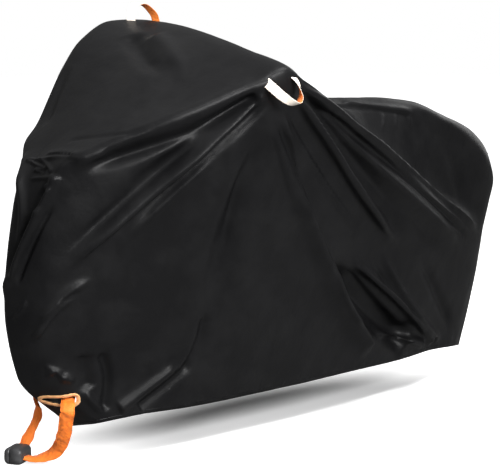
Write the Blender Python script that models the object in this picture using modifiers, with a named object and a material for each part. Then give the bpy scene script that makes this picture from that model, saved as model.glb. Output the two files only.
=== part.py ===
"""Bicycle cover, one fitted shell of coated cloth, as it hangs when in use.

Metres, +Z up, +X towards the tail, +Y to the far side.  The tables give
heights above the floor; MOUNT takes them to the frame, whose origin is the
hold under the cloth at the middle of the handle crest.  Nothing under the
cloth is built.
"""
import bpy
import bmesh
import numpy as np
from mathutils import Vector, Matrix
from mathutils.bvhtree import BVHTree

for old in list(bpy.data.objects):
    bpy.data.objects.remove(old, do_unlink=True)

MOUNT = 1.155            # height of the hold under the cloth above the floor
CLOTH = 0.0022           # cloth with its coating and seams
GAP = 0.0005             # clear gap between pieces
COLUMNS, ROWS = 340, 250  # divisions along and across before thinning
FACES = 5100             # triangles of one side of the cloth after thinning

WEB_WIDTH, WEB_THICK = 0.025, 0.0018      # hanging loops
SLEEVE_WIDTH, SLEEVE_THICK = 0.038, 0.010  # strap in its sleeve
SLOT_LONG, SLOT_HIGH = 0.096, 0.027        # slot, measured between bindings
BIND_WIDE, BIND_THICK = 0.0085, 0.0046     # binding round each slot

# ---------------------------------------------------------------- tables
# Long lines of the draped shell, from the near hem over the top to the far
# hem.  Each row is a station: (along, x, y, height above the floor).
NEAR_HEM = (
    (0.00, -0.400, 0.140, 0.105), (0.06, -0.370, 0.050, 0.125),
    (0.14, -0.230, 0.030, 0.131), (0.22, -0.070, 0.020, 0.126),
    (0.30, 0.080, 0.020, 0.124), (0.42, 0.320, 0.020, 0.126),
    (0.58, 0.600, 0.040, 0.125), (0.72, 0.870, 0.070, 0.120),
    (0.82, 1.030, 0.100, 0.121), (0.94, 1.210, 0.125, 0.112),
    (1.00, 1.275, 0.150, 0.104))
NEAR_LOW = (
    (0.00, -0.560, 0.155, 0.262), (0.06, -0.505, 0.068, 0.264),
    (0.14, -0.300, 0.000, 0.300), (0.22, -0.100, -0.030, 0.300),
    (0.30, 0.060, -0.040, 0.300), (0.42, 0.310, -0.030, 0.300),
    (0.58, 0.600, 0.000, 0.290), (0.72, 0.870, 0.035, 0.280),
    (0.82, 1.050, 0.070, 0.270), (0.94, 1.250, 0.115, 0.260),
    (1.00, 1.330, 0.150, 0.258))
NEAR_BELLY = (
    (0.00, -0.588, 0.160, 0.440), (0.06, -0.551, 0.060, 0.500),
    (0.14, -0.360, -0.040, 0.560), (0.22, -0.140, -0.100, 0.580),
    (0.30, 0.030, -0.135, 0.600), (0.42, 0.300, -0.105, 0.560),
    (0.58, 0.590, -0.040, 0.500), (0.72, 0.870, 0.005, 0.440),
    (0.82, 1.070, 0.050, 0.400), (0.94, 1.290, 0.105, 0.385),
    (1.00, 1.365, 0.150, 0.390))
NEAR_CREST = (
    (0.00, -0.565, 0.160, 0.620), (0.05, -0.535, 0.070, 0.745),
    (0.08, -0.515, 0.010, 0.822), (0.12, -0.425, -0.060, 0.878),
    (0.17, -0.328, -0.130, 0.923), (0.21, -0.240, -0.190, 0.957),
    (0.26, -0.100, -0.250, 1.025), (0.30, 0.000, -0.298, 1.072),
    (0.34, 0.080, -0.280, 1.045), (0.42, 0.240, -0.237, 0.975),
    (0.50, 0.390, -0.182, 0.918), (0.60, 0.612, -0.120, 0.800),
    (0.70, 0.800, -0.070, 0.707), (0.80, 1.000, -0.010, 0.610),
    (0.90, 1.190, 0.050, 0.545), (0.96, 1.310, 0.100, 0.500),
    (1.00, 1.393, 0.150, 0.500))
NEAR_VALLEY = (
    (0.00, -0.554, 0.160, 0.730), (0.05, -0.515, 0.090, 0.800),
    (0.08, -0.495, 0.060, 0.845), (0.12, -0.410, 0.020, 0.910),
    (0.17, -0.310, -0.030, 0.970), (0.21, -0.220, -0.080, 1.015),
    (0.26, -0.090, -0.120, 1.085), (0.30, 0.000, -0.150, 1.124),
    (0.34, 0.090, -0.160, 1.050), (0.42, 0.250, -0.140, 0.965),
    (0.50, 0.400, -0.110, 0.930), (0.60, 0.630, -0.050, 0.840),
    (0.70, 0.820, -0.005, 0.760), (0.80, 1.020, 0.045, 0.680),
    (0.90, 1.210, 0.085, 0.620), (0.96, 1.340, 0.110, 0.580),
    (1.00, 1.428, 0.150, 0.600))
SEAT_EDGE = (
    (0.00, -0.530, 0.150, 0.800), (0.08, -0.475, 0.110, 0.860),
    (0.12, -0.400, 0.090, 0.930), (0.17, -0.300, 0.050, 1.005),
    (0.21, -0.210, 0.020, 1.065), (0.26, -0.085, -0.010, 1.130),
    (0.30, 0.000, -0.030, 1.158), (0.34, 0.090, -0.030, 1.085),
    (0.42, 0.260, -0.030, 0.985), (0.50, 0.430, -0.010, 0.975),
    (0.60, 0.680, 0.000, 0.952), (0.70, 0.860, 0.000, 0.936),
    (0.80, 1.060, 0.025, 0.880), (0.90, 1.260, 0.070, 0.800),
    (0.96, 1.378, 0.110, 0.720), (1.00, 1.442, 0.145, 0.670))
TOP = (
    (0.00, -0.485, 0.140, 0.845), (0.08, -0.462, 0.150, 0.868),
    (0.12, -0.400, 0.150, 0.935), (0.17, -0.300, 0.140, 1.025),
    (0.21, -0.205, 0.120, 1.095), (0.26, -0.080, 0.100, 1.162),
    (0.30, 0.000, 0.085, 1.186), (0.34, 0.090, 0.070, 1.112),
    (0.42, 0.260, 0.040, 0.998), (0.50, 0.460, 0.030, 0.985),
    (0.60, 0.690, 0.040, 0.982), (0.70, 0.870, 0.055, 0.968),
    (0.80, 1.080, 0.080, 0.912), (0.90, 1.250, 0.115, 0.865),
    (0.96, 1.350, 0.130, 0.810), (1.00, 1.400, 0.140, 0.770))
FAR_VALLEY = (
    (0.00, -0.530, 0.155, 0.800), (0.08, -0.462, 0.210, 0.868),
    (0.12, -0.400, 0.230, 0.930), (0.17, -0.300, 0.250, 1.050),
    (0.21, -0.210, 0.260, 1.135), (0.26, -0.085, 0.260, 1.193),
    (0.30, 0.000, 0.230, 1.208), (0.34, 0.080, 0.220, 1.135),
    (0.42, 0.250, 0.170, 1.020), (0.50, 0.420, 0.150, 0.975),
    (0.60, 0.660, 0.140, 0.945), (0.70, 0.850, 0.150, 0.900),
    (0.80, 1.050, 0.160, 0.830), (0.90, 1.230, 0.170, 0.760),
    (0.96, 1.340, 0.160, 0.690), (1.00, 1.442, 0.155, 0.670))
FAR_CREST = (
    (0.00, -0.556, 0.170, 0.700), (0.05, -0.480, 0.225, 0.800),
    (0.08, -0.450, 0.262, 0.872), (0.12, -0.395, 0.280, 0.925),
    (0.17, -0.290, 0.310, 1.070), (0.21, -0.210, 0.325, 1.155),
    (0.26, -0.100, 0.335, 1.210), (0.30, -0.010, 0.335, 1.215),
    (0.34, 0.080, 0.330, 1.165), (0.42, 0.250, 0.310, 1.060),
    (0.50, 0.400, 0.300, 0.970), (0.60, 0.620, 0.290, 0.860),
    (0.70, 0.820, 0.280, 0.770), (0.80, 1.010, 0.270, 0.680),
    (0.90, 1.190, 0.250, 0.600), (0.96, 1.310, 0.210, 0.540),
    (1.00, 1.408, 0.165, 0.540))
FAR_BELLY = (
    (0.00, -0.588, 0.170, 0.440), (0.06, -0.460, 0.275, 0.500),
    (0.14, -0.320, 0.360, 0.580), (0.22, -0.130, 0.410, 0.630),
    (0.30, 0.030, 0.430, 0.650), (0.42, 0.300, 0.430, 0.600),
    (0.58, 0.590, 0.410, 0.540), (0.72, 0.870, 0.380, 0.490),
    (0.82, 1.060, 0.330, 0.450), (0.94, 1.280, 0.230, 0.400),
    (1.00, 1.365, 0.160, 0.390))
FAR_LOW = (
    (0.00, -0.560, 0.160, 0.268), (0.06, -0.425, 0.274, 0.285),
    (0.14, -0.274, 0.356, 0.325), (0.22, -0.096, 0.412, 0.360),
    (0.30, 0.058, 0.437, 0.388), (0.42, 0.312, 0.443, 0.379),
    (0.58, 0.596, 0.429, 0.354), (0.72, 0.870, 0.399, 0.328),
    (0.82, 1.042, 0.348, 0.302), (0.94, 1.245, 0.235, 0.257),
    (1.00, 1.322, 0.160, 0.245))
FAR_HEM = (
    (0.00, -0.400, 0.150, 0.105), (0.06, -0.345, 0.265, 0.128),
    (0.14, -0.225, 0.355, 0.152), (0.22, -0.070, 0.415, 0.182),
    (0.30, 0.080, 0.440, 0.203), (0.42, 0.320, 0.450, 0.215),
    (0.58, 0.600, 0.440, 0.210), (0.72, 0.870, 0.410, 0.200),
    (0.82, 1.020, 0.360, 0.180), (0.94, 1.200, 0.240, 0.130),
    (1.00, 1.275, 0.160, 0.104))
# Each long line at its place across the cloth, 0 near hem to 1 far hem
LINES = ((0.000, NEAR_HEM), (0.090, NEAR_LOW), (0.200, NEAR_BELLY),
         (0.360, NEAR_CREST), (0.405, NEAR_VALLEY), (0.455, SEAT_EDGE),
         (0.500, TOP), (0.555, FAR_VALLEY), (0.640, FAR_CREST),
         (0.800, FAR_BELLY), (0.910, FAR_LOW), (1.000, FAR_HEM))
# --- folds
# Ridges (height above 0) and troughs of the cloth: seen from, start, middle
# and end as (x, height) or, from the nose, (y, height); width at the start
# and end; lean, above 1 wider on its left; height; share of the length over
# which it fades in and out.
FOLDS = (
    ('front edge', 'near', -0.50, 0.82, -0.33, 0.92, -0.03, 1.045,
     0.022, 0.018, 1.0, 0.010, 0.10, 0.05),
    ('under front edge', 'near', -0.06, 1.00, -0.19, 0.93, -0.49, 0.82,
     0.014, 0.022, 0.8, -0.022, 0.05, 0.25),
    ('long fold', 'near', -0.05, 1.015, -0.315, 0.75, -0.555, 0.50,
     0.011, 0.018, 1.0, 0.022, 0.06, 0.35),
    ('above long fold', 'near', -0.07, 1.01, -0.255, 0.865, -0.435, 0.685,
     0.014, 0.022, 1.0, -0.015, 0.05, 0.40),
    ('below long fold', 'near', -0.04, 0.995, -0.22, 0.81, -0.40, 0.635,
     0.012, 0.020, 1.0, -0.015, 0.10, 0.40),
    ('back fold', 'near', 0.04, 1.01, 0.28, 0.84, 0.765, 0.505,
     0.011, 0.018, 1.0, 0.024, 0.05, 0.30),
    ('left of back fold', 'near', 0.02, 0.975, 0.21, 0.815, 0.635, 0.53,
     0.012, 0.022, 1.0, -0.015, 0.10, 0.30),
    ('right of back fold', 'near', 0.07, 1.015, 0.365, 0.84, 0.85, 0.52,
     0.014, 0.026, 1.0, -0.015, 0.10, 0.30),
    ('rear ridge', 'near', 0.04, 1.04, 0.49, 0.86, 1.285, 0.505,
     0.011, 0.015, 1.0, 0.012, 0.05, 0.10),
    ('second rear ridge', 'near', 0.235, 0.93, 0.63, 0.735, 1.15, 0.475,
     0.012, 0.016, 1.0, 0.012, 0.30, 0.20),
    ('under second ridge', 'near', 0.345, 0.845, 0.71, 0.645, 1.125, 0.42,
     0.020, 0.030, 1.0, -0.012, 0.30, 0.30),
    ('panel edge', 'near', 0.005, 0.965, 0.305, 0.58, 0.705, 0.19,
     0.014, 0.022, 0.5, 0.026, 0.10, 0.05),
    ('loop groove', 'near', -0.005, 0.94, 0.12, 0.80, 0.23, 0.66,
     0.010, 0.012, 1.0, -0.012, 0.20, 0.30),
    ('tuck', 'near', 0.395, 0.52, 0.635, 0.33, 0.90, 0.175,
     0.022, 0.042, 1.0, -0.048, 0.25, 0.08),
    ('tuck far crest', 'near', 0.51, 0.49, 0.79, 0.325, 1.065, 0.145,
     0.012, 0.015, 1.6, 0.020, 0.15, 0.05),
    ('outer crest', 'near', 0.655, 0.51, 0.89, 0.295, 1.12, 0.145,
     0.012, 0.015, 1.0, 0.014, 0.20, 0.10),
    ('tuck roll', 'near', 0.72, 0.235, 0.845, 0.20, 1.015, 0.15,
     0.012, 0.013, 1.0, 0.024, 0.15, 0.15),
    ('nose edge', 'nose', 0.015, 0.81, 0.07, 0.675, 0.195, 0.465,
     0.013, 0.013, 1.0, 0.014, 0.03, 0.25),
    ('inside nose edge', 'nose', 0.04, 0.785, 0.10, 0.675, 0.155, 0.505,
     0.012, 0.012, 1.0, -0.012, 0.10, 0.20),
    ('nose crease', 'nose', 0.22, 0.855, 0.13, 0.72, 0.14, 0.575,
     0.012, 0.012, 1.0, 0.010, 0.10, 0.30),
    ('panel trough', 'near', -0.03, 0.925, -0.07, 0.685, -0.075, 0.385,
     0.020, 0.035, 1.0, -0.014, 0.20, 0.20),
    ('panel swell', 'near', -0.065, 0.945, -0.14, 0.645, -0.165, 0.365,
     0.030, 0.050, 1.0, 0.010, 0.20, 0.30),
    ('low trough', 'near', -0.085, 0.41, -0.085, 0.315, -0.12, 0.23,
     0.014, 0.018, 1.0, -0.012, 0.20, 0.20),
    ('low ridge', 'near', -0.14, 0.27, -0.235, 0.205, -0.315, 0.155,
     0.015, 0.020, 1.0, 0.015, 0.20, 0.05),
    ('beside low ridge', 'near', -0.09, 0.26, -0.18, 0.195, -0.25, 0.15,
     0.015, 0.018, 1.0, -0.013, 0.15, 0.05),
    ('foot hollow', 'near', -0.43, 0.33, -0.425, 0.28, -0.41, 0.22,
     0.025, 0.025, 1.0, -0.014, 0.20, 0.20),
    ('foot crescent', 'near', -0.39, 0.33, -0.355, 0.245, -0.36, 0.155,
     0.014, 0.016, 1.0, -0.016, 0.15, 0.10),
    ('low crease', 'near', -0.415, 0.535, -0.51, 0.47, -0.55, 0.36,
     0.012, 0.012, 1.0, 0.010, 0.25, 0.15),
    ('face trough', 'nose', 0.21, 1.17, 0.115, 1.12, -0.035, 1.055,
     0.030, 0.022, 1.0, -0.014, 0.10, 0.40),
    ('face swell', 'nose', 0.15, 1.168, 0.02, 1.115, -0.085, 1.05,
     0.025, 0.022, 1.0, 0.009, 0.10, 0.40),
    ('seat rim', 'near', 0.51, 0.97, 0.69, 0.95, 0.86, 0.93,
     0.012, 0.014, 1.0, 0.009, 0.10, 0.20),
    ('seat hollow', 'near', 0.46, 0.955, 0.50, 0.92, 0.54, 0.87,
     0.020, 0.020, 1.0, -0.012, 0.20, 0.20),
    ('tail hollow', 'near', 0.99, 0.87, 1.11, 0.75, 1.19, 0.61,
     0.030, 0.030, 1.0, -0.010, 0.30, 0.30),
    ('tail trough', 'near', 0.865, 0.475, 1.03, 0.33, 1.185, 0.175,
     0.018, 0.022, 1.0, -0.010, 0.30, 0.20),
    ('far long fold', 'far', 0.00, 1.12, -0.13, 0.85, -0.26, 0.52,
     0.014, 0.024, 1.0, 0.018, 0.10, 0.40),
    ('far middle fold', 'far', 0.03, 1.12, 0.16, 0.75, 0.24, 0.35,
     0.014, 0.030, 1.0, 0.018, 0.10, 0.30),
    ('far middle trough', 'far', 0.01, 1.05, 0.08, 0.72, 0.10, 0.38,
     0.018, 0.036, 1.0, -0.016, 0.15, 0.30),
    ('far back fold', 'far', 0.06, 1.14, 0.46, 0.80, 0.84, 0.42,
     0.013, 0.024, 1.0, 0.020, 0.08, 0.30),
    ('far back trough', 'far', 0.10, 1.06, 0.42, 0.74, 0.74, 0.38,
     0.018, 0.034, 1.0, -0.016, 0.12, 0.30),
    ('far rear ridge', 'far', 0.10, 1.13, 0.60, 0.85, 1.20, 0.55,
     0.013, 0.018, 1.0, 0.012, 0.08, 0.15))
# --- end of folds


def smooth_through(knots, values, at):
    """Monotone curve through the rows of a table."""
    knots = np.asarray(knots, float)
    values = np.asarray(values, float)
    shape = (-1,) + (1,) * (values.ndim - 1)
    step = np.diff(knots).reshape(shape)
    rise = np.diff(values, axis=0) / step
    slope = np.zeros_like(values)
    w1, w2 = 2 * step[1:] + step[:-1], step[1:] + 2 * step[:-1]
    with np.errstate(divide='ignore', invalid='ignore'):
        mean = (w1 + w2) / (w1 / rise[:-1] + w2 / rise[1:])
    slope[1:-1] = np.where(rise[:-1] * rise[1:] > 0, mean, 0)
    slope[0], slope[-1] = rise[0], rise[-1]
    at = np.clip(at, knots[0], knots[-1])
    i = np.clip(np.searchsorted(knots, at, side='right') - 1, 0, len(knots) - 2)
    t = ((at - knots[i]) / (knots[i + 1] - knots[i])).reshape(shape)
    h = (knots[i + 1] - knots[i]).reshape(shape)
    return ((2 * t**3 - 3 * t**2 + 1) * values[i]
            + (t**3 - 2 * t**2 + t) * h * slope[i]
            + (3 * t**2 - 2 * t**3) * values[i + 1]
            + (t**3 - t**2) * h * slope[i + 1])


def relax(grid, times, amount=0.5):
    """Ease the grid, with the nose and tail seams kept closed."""
    for _ in range(times):
        a = grid.copy()
        a[:, 1:-1] += amount * (0.5 * (grid[:, 2:] + grid[:, :-2]) - grid[:, 1:-1])
        b = a.copy()
        b[1:-1] += amount * (0.5 * (a[2:] + a[:-2]) - a[1:-1])
        for end, inner in ((0, 1), (-1, -2)):
            side = 0.5 * (a[inner] + a[inner][::-1])
            b[end] = a[end] + amount * (side - a[end])
            b[end] = 0.5 * (b[end] + b[end][::-1])
        grid = b
    return grid


def outward(grid):
    """Unit normals of the grid, away from the hollow."""
    du, dv = np.gradient(grid, axis=0), np.gradient(grid, axis=1)
    du[0] = grid[1] - grid[1][::-1]
    du[-1] = grid[-2][::-1] - grid[-2]
    n = np.cross(du, dv)
    return n / np.maximum(np.linalg.norm(n, axis=2, keepdims=True), 1e-12)


def shell_grid(columns, rows, ease=3):
    """The draped shell without its folds, heights above the floor."""
    u, v = np.linspace(0, 1, columns + 1), np.linspace(0, 1, rows + 1)
    lines = [smooth_through([r[0] for r in t], [r[1:] for r in t], u)
             for _, t in LINES]
    grid = smooth_through([k for k, _ in LINES], np.stack(lines), v)
    return relax(np.swapaxes(grid, 0, 1).copy(), ease)


def seen_from(side, grid, normal, a, b):
    """Place and normal of the shell at (x, z) seen from the near or far
    side, or at (y, z) seen from the nose."""
    first, look = {'near': (0, (0, -1, 0)), 'far': (0, (0, 1, 0)),
                   'nose': (1, (-1, 0, 0))}[side]
    facing = normal @ np.array(look, float) > 0.05
    d = (grid[..., first] - a)**2 + (grid[..., 2] - b)**2
    d = np.where(facing, d, 9.0)
    i, j = np.unravel_index(np.argmin(d), d.shape)
    p, n = grid[i, j], normal[i, j]
    q = np.array((a, 0.0, b)) if first == 0 else np.array((0.0, a, b))
    depth = 1 - first
    rest = [k for k in (0, 1, 2) if k != depth]
    q[depth] = p[depth] - sum(n[k] * (q[k] - p[k]) for k in rest) / n[depth]
    return (q if np.linalg.norm(q - p) < 0.03 else p), n


def fold_path(side, grid, normal, points, steps=28):
    """Curve through three places on the shell, laid on its surface."""
    p = np.array(points, float).reshape(-1, 2)
    chord = np.concatenate([[0], np.cumsum(np.linalg.norm(np.diff(p, axis=0), axis=1))])
    mid = chord[1] / chord[2]
    t = np.linspace(0, 1, steps)[:, None]
    curve = (p[0] * (t - mid) * (t - 1) / mid + p[2] * t * (t - mid) / (1 - mid)
             - p[1] * t * (t - 1) / (mid * (1 - mid)))
    laid = [seen_from(side, grid, normal, *q) for q in curve]
    place = np.array([q for q, _ in laid])
    face = np.array([n for _, n in laid])
    for _ in range(2):
        place[1:-1] = 0.5 * place[1:-1] + 0.25 * (place[2:] + place[:-2])
    return place, face


def add_folds(grid, folds):
    """Push the shell out along ridges and in along troughs."""
    normal = outward(grid)
    push = np.zeros(grid.shape[:2])
    for name, side, x0, z0, x1, z1, x2, z2, w0, w1, lean, height, fade0, fade1 in folds:
        place, face = fold_path(side, grid, normal, (x0, z0, x1, z1, x2, z2))
        reach = 3.2 * max(w0, w1) * max(lean, 1 / lean)
        low, high = place.min(0) - reach, place.max(0) + reach
        near = np.all((grid > low) & (grid < high), axis=2)
        pts = grid[near]
        best = np.full(len(pts), 9.0)
        along = np.zeros(len(pts))
        sign = np.ones(len(pts))
        for k in range(len(place) - 1):
            a, ab = place[k], place[k + 1] - place[k]
            t = np.clip(((pts - a) @ ab) / max(ab @ ab, 1e-12), 0, 1)
            off = pts - (a + t[:, None] * ab)
            d = np.linalg.norm(off, axis=1)
            closer = d < best
            best[closer] = d[closer]
            along[closer] = (k + t[closer]) / (len(place) - 1)
            across = np.cross(face[k], ab)
            sign[closer] = np.sign(off[closer] @ across)
        width = w0 + (w1 - w0) * along
        width = np.where(sign > 0, width * lean, width / lean)
        level = height * np.exp(-(best / width)**2)
        for fade, t in ((fade0, along), (fade1, 1 - along)):
            if fade > 0:
                s = np.clip(t / fade, 0, 1)
                level *= s * s * (3 - 2 * s)
        level = np.where(normal[near] @ face.mean(0) > -0.2, level, 0)
        push[near] += level
    push[0] = 0.5 * (push[0] + push[0][::-1])
    push[-1] = 0.5 * (push[-1] + push[-1][::-1])
    return grid + normal * push[..., None]
# ------------------------------------------------------------- end of shape


# Hanging loops and strap: place, and the way the broad face looks.
NEAR_LOOP = (
    # x, y, height, face x, y, z
    (-0.060, -0.272, 1.046, -0.60, -0.78, 0.10),
    (-0.053, -0.296, 1.028, -0.60, -0.78, -0.05),
    (-0.037, -0.318, 1.005, -0.52, -0.75, -0.35),
    (-0.018, -0.332, 0.989, -0.25, -0.55, -0.80),
    (0.002, -0.333, 0.984, 0.25, -0.25, -0.93),
    (0.018, -0.327, 0.995, 0.80, -0.20, -0.55),
    (0.027, -0.317, 1.018, 0.70, -0.70, -0.20),
    (0.030, -0.305, 1.040, 0.30, -0.95, 0.00),
    (0.026, -0.284, 1.060, 0.20, -0.90, 0.30))
FAR_LOOP = (
    (-0.050, 0.296, 1.200, -0.75, -0.50, 0.20),
    (-0.053, 0.298, 1.222, -0.75, -0.50, 0.15),
    (-0.047, 0.298, 1.246, -0.70, -0.45, 0.45),
    (-0.030, 0.296, 1.259, -0.30, -0.30, 0.90),
    (-0.010, 0.292, 1.256, 0.35, 0.10, 0.93),
    (0.010, 0.288, 1.242, 0.60, 0.25, 0.75),
    (0.025, 0.284, 1.222, 0.80, 0.35, 0.45),
    (0.031, 0.282, 1.190, 0.85, 0.40, 0.15))
SLEEVE = (
    (-0.5180, 0.1880, 0.0300, 0.10, -0.35, 0.93),
    (-0.4990, 0.1700, 0.0260, 0.05, -0.40, 0.90),
    (-0.4700, 0.1420, 0.0350, -0.20, -0.60, 0.75),
    (-0.4570, 0.1120, 0.0610, -0.60, -0.70, 0.30),
    (-0.4620, 0.0800, 0.1020, -0.65, -0.75, 0.00),
    (-0.4707, 0.0538, 0.1582, -0.65, -0.75, 0.02),
    (-0.4727, 0.0460, 0.1744, -0.60, -0.65, 0.35),
    (-0.4581, 0.0656, 0.1909, -0.42, -0.47, 0.75),
    (-0.4307, 0.1006, 0.2156, -0.20, -0.20, 1.00),
    (-0.4150, 0.1500, 0.2160, 0.05, 0.00, 1.00),
    (-0.4150, 0.1950, 0.2041, 0.00, 0.05, 1.00),
    (-0.4320, 0.2320, 0.1981, -0.30, 0.30, 0.90),
    (-0.4410, 0.2450, 0.1815, -0.65, 0.55, 0.50),
    (-0.4330, 0.2490, 0.1570, -0.85, 0.50, 0.05),
    (-0.4280, 0.2480, 0.1400, -0.99, 0.10, 0.05),
    (-0.4310, 0.2470, 0.1210, -0.90, -0.40, 0.15),
    (-0.4420, 0.2460, 0.1010, -0.75, -0.60, 0.30),
    (-0.4580, 0.2430, 0.0800, -0.60, -0.55, 0.50),
    (-0.4720, 0.2390, 0.0640, -0.50, -0.45, 0.70),
    (-0.4860, 0.2350, 0.0510, -0.40, -0.35, 0.85),
    (-0.5000, 0.2300, 0.0420, -0.30, -0.30, 0.90))
SLOTS = (
    # place near the cloth, long way along it
    ('near', (-0.468, 0.092, 0.200), (0.62, -0.79, 0.06)),
    ('far', (-0.440, 0.236, 0.200), (0.62, 0.79, 0.06)))
LOCK = ((-0.520, 0.215, 0.034), (0.074, 0.056, 0.046), 30.0)

COLOURS = {
    'coated cloth': ((0.012, 0.012, 0.013), 0.42),
    'loop webbing': ((0.80, 0.78, 0.74), 0.45),
    'slot binding': ((0.90, 0.36, 0.10), 0.55),
    'strap sleeve': ((0.85, 0.24, 0.03), 0.70),
    'lock case': ((0.055, 0.057, 0.060), 0.45)}


def collection(name):
    made = bpy.data.collections.new(name)
    bpy.context.scene.collection.children.link(made)
    return made


BUILT = collection('bicycle_cover')
CUTTERS = collection('cutters')


def material(name):
    colour, rough = COLOURS[name]
    made = bpy.data.materials.new(name)
    made.use_nodes = True
    made.diffuse_color = (*colour, 1)
    shader = made.node_tree.nodes['Principled BSDF']
    shader.inputs['Base Color'].default_value = (*colour, 1)
    shader.inputs['Roughness'].default_value = rough
    return made


def add_object(name, bm, home, stuff=None):
    mesh = bpy.data.meshes.new(name)
    bm.to_mesh(mesh)
    bm.free()
    made = bpy.data.objects.new(name, mesh)
    home.objects.link(made)
    if stuff:
        mesh.materials.append(material(stuff))
    if home is CUTTERS:
        made.hide_render = True
        made.display_type = 'WIRE'
    return made


def shaped(obj):
    """The object's mesh with its modifiers, as a bmesh."""
    bpy.context.view_layer.update()
    graph = bpy.context.evaluated_depsgraph_get()
    bm = bmesh.new()
    bm.from_mesh(obj.evaluated_get(graph).to_mesh())
    return bm


def cut(obj, cutter):
    mod = obj.modifiers.new('cut by ' + cutter.name, 'BOOLEAN')
    mod.operation, mod.solver, mod.object = 'DIFFERENCE', 'EXACT', cutter
    return mod


def sheet_mesh(columns, rows):
    """The folded shell as one open sheet with its seams merged."""
    grid = add_folds(shell_grid(columns, rows), FOLDS)
    grid[..., 2] -= MOUNT
    bm = bmesh.new()
    bmesh.ops.create_grid(bm, x_segments=columns, y_segments=rows, size=0.5)
    for v in bm.verts:
        i = round((v.co.x + 0.5) * columns)
        j = round((v.co.y + 0.5) * rows)
        v.co = Vector(grid[i, j])
    bmesh.ops.remove_doubles(bm, verts=bm.verts, dist=0.00005)
    return bm


def strip(rows, width, thick, offset=0.0, sides=12, steps=4, grow=0.0):
    """Closed flat webbing through the rows of a table, broad face outward."""
    table = np.array(rows, float)
    table[:, 2] -= MOUNT
    knots = np.arange(len(table))
    fine = np.linspace(0, len(table) - 1, steps * (len(table) - 1) + 1)
    line = smooth_through(knots, table, fine)
    way = np.gradient(line[:, :3], axis=0)
    way /= np.linalg.norm(way, axis=1, keepdims=True)
    face = line[:, 3:] - (line[:, 3:] * way).sum(1, keepdims=True) * way
    face /= np.linalg.norm(face, axis=1, keepdims=True)
    side = np.cross(way, face)
    line[0, :3] -= 3 * grow * way[0]
    line[-1, :3] += 3 * grow * way[-1]
    w, h = width / 2 + grow, thick / 2 + grow
    turn = np.linspace(0, 2 * np.pi, sides, endpoint=False) + np.pi / sides
    a = np.sign(np.cos(turn)) * np.abs(np.cos(turn))**0.6 * w
    b = np.sign(np.sin(turn)) * np.abs(np.sin(turn))**0.6 * h
    bm = bmesh.new()
    rings = []
    for k in range(len(line)):
        spots = line[k, :3] + face[k] * offset + a[:, None] * side[k] + b[:, None] * face[k]
        rings.append([bm.verts.new(p) for p in spots])
    for k in range(len(rings) - 1):
        for s in range(sides):
            t = (s + 1) % sides
            bm.faces.new((rings[k][s], rings[k][t], rings[k + 1][t], rings[k + 1][s]))
    bm.faces.new(rings[0][::-1])
    bm.faces.new(rings[-1])
    bmesh.ops.recalc_face_normals(bm, faces=bm.faces)
    return bm


def largest_piece(bm):
    """Keep the piece of most volume of a cut body."""
    left, pieces = set(bm.verts), []
    while left:
        stack = [left.pop()]
        piece = set(stack)
        while stack:
            for e in stack.pop().link_edges:
                for v in e.verts:
                    if v in left:
                        left.remove(v)
                        piece.add(v)
                        stack.append(v)
        pieces.append(piece)
    pieces.sort(key=lambda p: max((v.co - w.co).length for v in list(p)[:40] for w in list(p)[-40:]))
    drop = [v for p in pieces[:-1] for v in p]
    bmesh.ops.delete(bm, geom=drop, context='VERTS')
    return bm


# ----------------------------------------------------------- the cloth
sheet = add_object('cover_sheet', sheet_mesh(COLUMNS, ROWS), CUTTERS)
thin = sheet.modifiers.new('thin out', 'DECIMATE')
thin.ratio = FACES / (2.0 * COLUMNS * ROWS)
thin.use_collapse_triangulate = True
outer = shaped(sheet)
bmesh.ops.triangulate(outer, faces=outer.faces)
bmesh.ops.recalc_face_normals(outer, faces=outer.faces)
probe = BVHTree.FromBMesh(outer)
cover = add_object('cover_body', outer.copy(), BUILT, 'coated cloth')
clear = add_object('cover_clear', outer, CUTTERS)
for obj, thick, out in ((cover, CLOTH, 0.0), (clear, CLOTH + 2 * GAP, GAP)):
    solid = obj.modifiers.new('cloth', 'SOLIDIFY')
    solid.thickness = thick
    solid.offset = -1 + 2 * out / thick if out else -1
    solid.use_even_offset = False
    solid.use_rim = True


# ------------------------------------------------ slots and their bindings
def slot_ring(place, long_way, long_half, high_half, steps=40):
    """Oval on the cloth, blunt at the end that the strap fills."""
    middle, face, _, _ = probe.find_nearest(Vector(place) - Vector((0, 0, MOUNT)))
    if face.dot(middle - Vector((0.4, 0.2, -0.7))) < 0:
        face = -face
    long_way = (Vector(long_way) - Vector(long_way).dot(face) * face).normalized()
    high_way = face.cross(long_way)
    ring = []
    for k in range(steps):
        turn = 2 * np.pi * k / steps
        c, s = np.cos(turn), np.sin(turn)
        blunt, full = (0.50, 0.60) if c > 0 else (0.90, 1.00)
        spot = (middle + long_way * long_half * np.sign(c) * abs(c)**blunt
                + high_way * high_half * np.sign(s) * abs(s)**full)
        hit, n, _, _ = probe.ray_cast(spot + face * 0.08, -face, 0.2)
        if hit is None:
            hit, n, _, _ = probe.find_nearest(spot)
        ring.append(hit)
    for _ in range(4):
        ring = [0.5 * ring[k] + 0.25 * (ring[k - 1] + ring[(k + 1) % steps])
                for k in range(steps)]
    return ring, middle, face


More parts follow.
